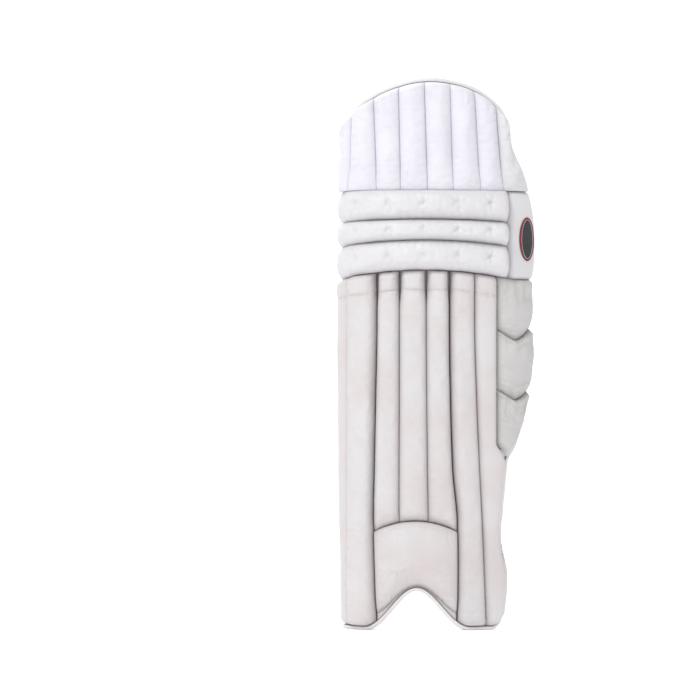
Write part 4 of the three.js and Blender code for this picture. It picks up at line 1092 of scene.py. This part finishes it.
def band(name, line, thickness, foot, head, material, nodes, step=1.6, round_end=0.0,
         puff=0.0, seed=0, edge=None):
    """A band that stands on edge along a line in plan. Its section is an oblong with round edges,
    carried along the line; foot and head give its lower and upper edge by the share of the line.
    Round end tapers the last millimetres to half a circle, and puff swells it between its edges."""
    line, run = resampled(line, step)
    way = np.gradient(line, axis=0)
    way[1:-1] = way[:-2] / 4 + way[1:-1] / 2 + way[2:] / 4
    way /= np.linalg.norm(way, axis=1, keepdims=True)
    normal = np.stack([way[:, 1], -way[:, 0]], -1)
    share = run / run[-1]
    low, high = foot(share), head(share)
    middle, half = (low + high) / 2, (high - low) / 2
    if round_end:
        half = half * np.maximum(np.sqrt(1 - (1 - np.clip((run[-1] - run) / round_end, 0, 1)) ** 2), 0.04)
    radius = edge if edge else thickness / 2
    flat = np.linspace(-1, 1, 15)
    cap = np.linspace(-np.pi / 2, np.pi / 2, 7)[1:-1]
    tall = np.concatenate([flat, np.full(5, 1.0), flat[::-1], np.full(5, -1.0)])
    extra = np.concatenate([0 * flat, np.cos(cap), 0 * flat, -np.cos(cap)])
    thick = np.concatenate([0 * flat + 1, -np.sin(cap), 0 * flat - 1, np.sin(cap)])
    room = np.maximum(half - radius, 0.02)
    z = middle[:, None] + room[:, None] * tall[None] + radius * extra[None]
    swell = 1 + puff * (1 - np.abs(tall[None]) ** 3) * bulge(share, 8)[:, None]
    wave = 0.22 * drift(seed, 30, run[:, None], z)
    depth = thick[None] * thickness / 2 * swell + wave
    points = np.stack([line[:, :1] + normal[:, :1] * depth, line[:, 1:] + normal[:, 1:] * depth, z], -1)
    uv = np.stack([run[:, None] + 0 * z, z], -1)
    # Painted shade along the band's upper and lower edges, carried by the seam attribute.
    rim = np.clip(np.abs(tall[None]) * 6 - 5.3, 0, 0.5) + 0 * z
    obj = tube(name, points, uv, rim)
    finish_piece(obj, material, nodes)

    def row(offset, first, last):
        """A line along the band's face for stitches, above its foot or below its head."""
        keep = (share >= first) & (share <= last)
        level = np.where(offset > 0, low + offset, high + offset)
        reach = normal * (thickness / 2 * (1 + puff))
        points = np.column_stack([line + reach, level])[keep]
        return points, np.column_stack([normal, 0 * level])[keep]
    return row


def moulded_loop(name, node, centre, way, normal, height, tall):
    """A frame of moulded plastic: a rounded section carried round a rounded oblong."""
    turn = np.linspace(0, 2 * np.pi, 112, endpoint=False)
    power = 2 / 7
    half = (loop_width - loop_bar) / 2, (tall - loop_bar) / 2
    x = half[0] * np.sign(np.cos(turn)) * np.abs(np.cos(turn)) ** power
    z = half[1] * np.sign(np.sin(turn)) * np.abs(np.sin(turn)) ** power
    away = np.stack([np.sign(x) * np.abs(x / half[0]) ** 6 / half[0],
                     np.sign(z) * np.abs(z / half[1]) ** 6 / half[1]], -1)
    away /= np.linalg.norm(away, axis=1, keepdims=True)
    ring = np.linspace(0, 2 * np.pi, 16, endpoint=False)
    side = loop_bar / 2 * np.sign(np.cos(ring)) * np.abs(np.cos(ring)) ** 0.6
    deep = loop_thickness / 2 * np.sign(np.sin(ring)) * np.abs(np.sin(ring)) ** 0.6
    along = x[:, None] + away[:, :1] * side[None]
    level = height + z[:, None] + away[:, 1:] * side[None]
    points = np.stack([centre[0] + way[0] * along + normal[0] * deep[None],
                       centre[1] + way[1] * along + normal[1] * deep[None], level], -1)
    obj = tube(name, points, closed=True)
    finish_piece(obj, moulded, [node])


def fasten(name, height, width, tall, root, loop, end, anchor, on_wrap, tabs):
    """A strap with its loop and its anchors, placed by shares of its way round the leg."""
    spot, length = strap_way(height, wrap_thickness if on_wrap else strap_thickness)
    under = wrap_thickness / 2 + seat + strap_thickness / 2 if on_wrap else 0.0
    over = under + strap_thickness + seat
    centre, way, normal = (v[0] for v in spot(loop, under + turn_radius))
    shift = (loop_width - loop_bar) / 2
    step = shift / length
    near, far = loop + step * 1.3, loop - step * 1.3
    half_turn = np.linspace(0, np.pi, 18)[:, None]

    def turned(bar, forwards):
        """Half a turn of webbing round a bar of the loop."""
        return bar - normal * turn_radius * np.cos(half_turn) + forwards * turn_radius * np.sin(half_turn)

    back = np.linspace(near + step, end, 60)
    lift = (under + 2 * turn_radius) + (over - under - 2 * turn_radius) * smooth(
        back, near, near + 6 * step)
    line = np.concatenate([
        spot(np.linspace(root, near + step, 80), under)[0], turned(centre + way * shift, -way),
        spot(back, lift)[0]])
    row = band(f"{name}_strap_web", line, strap_thickness, lambda s: 0 * s + height - width / 2,
               lambda s: 0 * s + height + width / 2, webbing, [f"{name}_strap"],
               round_end=width * 0.32, seed=300 + int(height))
    back_share = 1 - length * (end - near) / np.linalg.norm(np.diff(line, axis=0), axis=1).sum()
    rows = [row(offset, back_share + 0.02, 0.985) for offset in (3.0, -3.0)]
    moulded_loop(f"{name}_loop_frame", f"{name}_loop", centre, way, normal, height, tall)
    line = np.concatenate([
        spot(np.linspace(anchor, far - step, 40), under)[0], turned(centre - way * shift, way),
        spot(np.linspace(far - step, far - anchor_return / length, 10), under + 2 * turn_radius)[0]])
    for node, foot, head, root_foot, root_head in tabs:
        row = band(f"{node}_web", line, strap_thickness,
                   lambda s: root_foot + (foot - root_foot) * np.minimum(s * 2.4, 1),
                   lambda s: root_head + (head - root_head) * np.minimum(s * 2.4, 1),
                   webbing, [node], seed=400 + int(foot))
        rows += [row(offset, 0.05, 0.5) for offset in (2.5, -2.5)]
    stitched(f"{name}_strap_stitches", rows, thread_white, 3.0)


def plain_tab(node, height, width):
    """An anchor as wide as its strap."""
    return [(node, height - width / 2, height + width / 2, height - width / 2, height + width / 2)]


ankle_height, calf_height, knee_height = instep_top + 15, instep_top + 203, knee_foot + 18
calf_low, calf_high = calf_height - strap_width / 2, calf_height + strap_width / 2
fasten("ankle", ankle_height, strap_width, loop_tall, 1, 0.26, 0.72, 0, False,
       plain_tab("ankle_anchor", ankle_height, strap_width))
fasten("calf", calf_height, strap_width, loop_tall, 1, 0.335, 0.64, 0, False, [
    ("calf_anchor_upper", calf_height + seam_gap / 2, calf_high, calf_height + tab_split / 3,
     calf_high + tab_split / 5),
    ("calf_anchor_lower", calf_low, calf_height - seam_gap / 2, calf_low - tab_split * 0.8,
     calf_height - tab_split / 2)])
fasten("knee", knee_height, knee_strap_width, knee_loop_tall, 0.84, 0.215, 0.7, 0.11, True,
       plain_tab("knee_anchor", knee_height, knee_strap_width))

# Wrap behind the knee: a padded band of the roll leather in three panels, lower on its outer side.
# Its middle panel is a plain label of smooth cloth, sewn round its edge.
wrap_width, wrap_slant, wrap_height = 94.0, 11.0, knee_foot + 52
wrap_spot = strap_way(knee_height, wrap_thickness)[0]
wrap_leather = leather("wrap_leather", (0.68, 0.65, 0.665), (0.62, 0.59, 0.605),
                       (0.42, 0.39, 0.4), 0.52)
label_cloth = woven("label_cloth", (0.64, 0.62, 0.64), (0.61, 0.59, 0.61), (0.45, 0.42, 0.44),
                    0.0006, 0.75)
wrap_rows = []
for name, first, last, slant, look, seed in (("outer", 0.0, 0.425, 1, wrap_leather, 505),
                                             ("centre", 0.43, 0.63, 0, label_cloth, 506),
                                             ("inner", 0.635, 1.0, 0, wrap_leather, 505)):
    row = band(f"knee_wrap_{name}_cover", wrap_spot(np.linspace(first, last, 90), 0.0)[0],
               wrap_thickness * 0.9, lambda s, slant=slant: wrap_height - wrap_width / 2
               - wrap_slant * slant * (1 - s), lambda s: 0 * s + wrap_height + wrap_width / 2,
               look, [f"knee_wrap_{name}"], puff=0.12, seed=seed, edge=2.6)
    wrap_rows += [row(offset, 0.02, 0.98) for offset in (4.5, -4.5)]
stitched("wrap_stitches", wrap_rows, thread_white)

# Covers settle: each stuffed cover that has slack is cut a little larger than its place and held
# along its seams, so that the stuffing presses it out and the spare cloth gathers in small folds.


def settle(covers, frames=16):
    """Blender's cloth on every cover at once, with pressure and no gravity. A cover's points are
    held by their weight, its cloth grows by its slack, and no point moves further than its cap."""
    scene = bpy.context.scene
    scene.frame_start, scene.frame_end = 1, frames
    starts = []
    for obj, hold, growth, _ in covers:
        group = obj.vertex_groups.new(name="held")
        for level in np.linspace(0, 1, 21):
            members = np.nonzero(np.abs(hold - level) <= 0.025)[0]
            if len(members) and level > 0:
                group.add(members.tolist(), float(level), "REPLACE")
        cloth = obj.modifiers.new("cloth", "CLOTH")
        settings = cloth.settings
        settings.quality = 4
        settings.mass = 0.15
        settings.tension_stiffness = settings.compression_stiffness = 12
        settings.shear_stiffness = 6
        settings.bending_stiffness = 0.3
        settings.vertex_group_mass = "held"
        settings.shrink_min = -growth
        settings.use_pressure = True
        settings.uniform_pressure_force = 3.0
        settings.effector_weights.gravity = 0
        cloth.collision_settings.use_collision = False
        cloth.point_cache.frame_start, cloth.point_cache.frame_end = 1, frames
        start = np.zeros(len(obj.data.vertices) * 3)
        obj.data.vertices.foreach_get("co", start)
        starts.append(start.reshape(-1, 3))
    for number in range(1, frames + 1):
        scene.frame_set(number)
    graph = bpy.context.evaluated_depsgraph_get()
    for (obj, hold, _, cap), start in zip(covers, starts):
        settled = obj.evaluated_get(graph).data
        moved = np.zeros(len(start) * 3)
        settled.vertices.foreach_get("co", moved)
        shift = moved.reshape(-1, 3) - start
        far = np.linalg.norm(shift, axis=1, keepdims=True)
        limit = cap * 0.001
        shift = shift * (limit * np.tanh(far / limit) / np.maximum(far, 1e-9))
        obj.modifiers.clear()
        obj.vertex_groups.clear()
        obj.data.vertices.foreach_set("co", (start + shift * (1 - hold[:, None])).ravel())
        obj.data.update()
    scene.frame_set(1)


settle(sewn_covers)

# Studio: a plain white floor that rises to a backdrop far behind, soft light from above on the
# left, a weaker one on the right, and a camera level with the middle of the pad, a long way off.
floor_side, backdrop_place, backdrop_top = 9.0, 6.5, 3.2
corners = [(-floor_side, -floor_side, 0), (floor_side, -floor_side, 0),
           (floor_side, backdrop_place, 0), (-floor_side, backdrop_place, 0),
           (floor_side, backdrop_place, backdrop_top), (-floor_side, backdrop_place, backdrop_top)]
mesh = bpy.data.meshes.new("studio_floor")
mesh.from_pydata(corners, [], [(0, 1, 2, 3), (3, 2, 4, 5)])
studio = bpy.data.objects.new("studio_floor", mesh)
bpy.context.scene.collection.objects.link(studio)
paper, tree, shader = new_material("studio_paper")
place = add_node(tree, "TexCoord")
paper_grain = add_node(tree, "TexNoise", {"Vector": place.outputs["Object"], "Scale": 400.0})
paper_bump = add_node(tree, "Bump", {"Height": paper_grain.outputs["Fac"], "Strength": 0.05,
                                     "Distance": 0.0002})
tree.links.new(paper_bump.outputs["Normal"], shader.inputs["Normal"])
shader.inputs["Base Color"].default_value = (0.95, 0.95, 0.95, 1)
shader.inputs["Roughness"].default_value = 0.9
shader.inputs["Emission Color"].default_value = (1, 1, 1, 1)
shader.inputs["Emission Strength"].default_value = 0.2
mesh.materials.append(paper)

world = bpy.data.worlds.new("studio_light")
world.use_nodes = True
world.node_tree.nodes["Background"].inputs["Color"].default_value = (1, 1, 1, 1)
world.node_tree.nodes["Background"].inputs["Strength"].default_value = 0.8
bpy.context.scene.world = world


def softbox(name, place, target, size, power):
    """A square area light aimed at a point."""
    light = bpy.data.lights.new(name, "AREA")
    light.shape, light.size, light.energy = "SQUARE", size, power
    lamp = bpy.data.objects.new(name, light)
    lamp.location = place
    aim = np.array(target) - np.array(place)
    lamp.rotation_euler = (
        float(np.arctan2(np.hypot(aim[0], aim[1]), -aim[2])), 0.0, float(np.arctan2(-aim[0], aim[1])))
    bpy.context.scene.collection.objects.link(lamp)


softbox("key_light", (-1.0, -1.6, 2.6), (0, 0, 0.35), 0.9, 40)
softbox("fill_light", (1.8, -1.6, 0.9), (0, 0, 0.3), 1.4, 3)
softbox("back_light", (-0.9, 1.6, 2.6), (0, 0, 0.4), 0.9, 36)

camera_data = bpy.data.cameras.new("camera")
camera = bpy.data.objects.new("camera", camera_data)
bpy.context.scene.collection.objects.link(camera)
camera_distance, frame_width = 4.2, 0.875
view_x, view_z, pad_front = -0.1078, 0.3506, -0.025
camera.location = (view_x, pad_front - camera_distance, view_z)
camera.rotation_euler = (np.pi / 2, 0, 0)
camera_data.sensor_width = 36.0
camera_data.lens = 36.0 * camera_distance / frame_width
camera_data.clip_end = 50.0
bpy.context.scene.camera = camera
bpy.context.scene.view_settings.view_transform = "Standard"
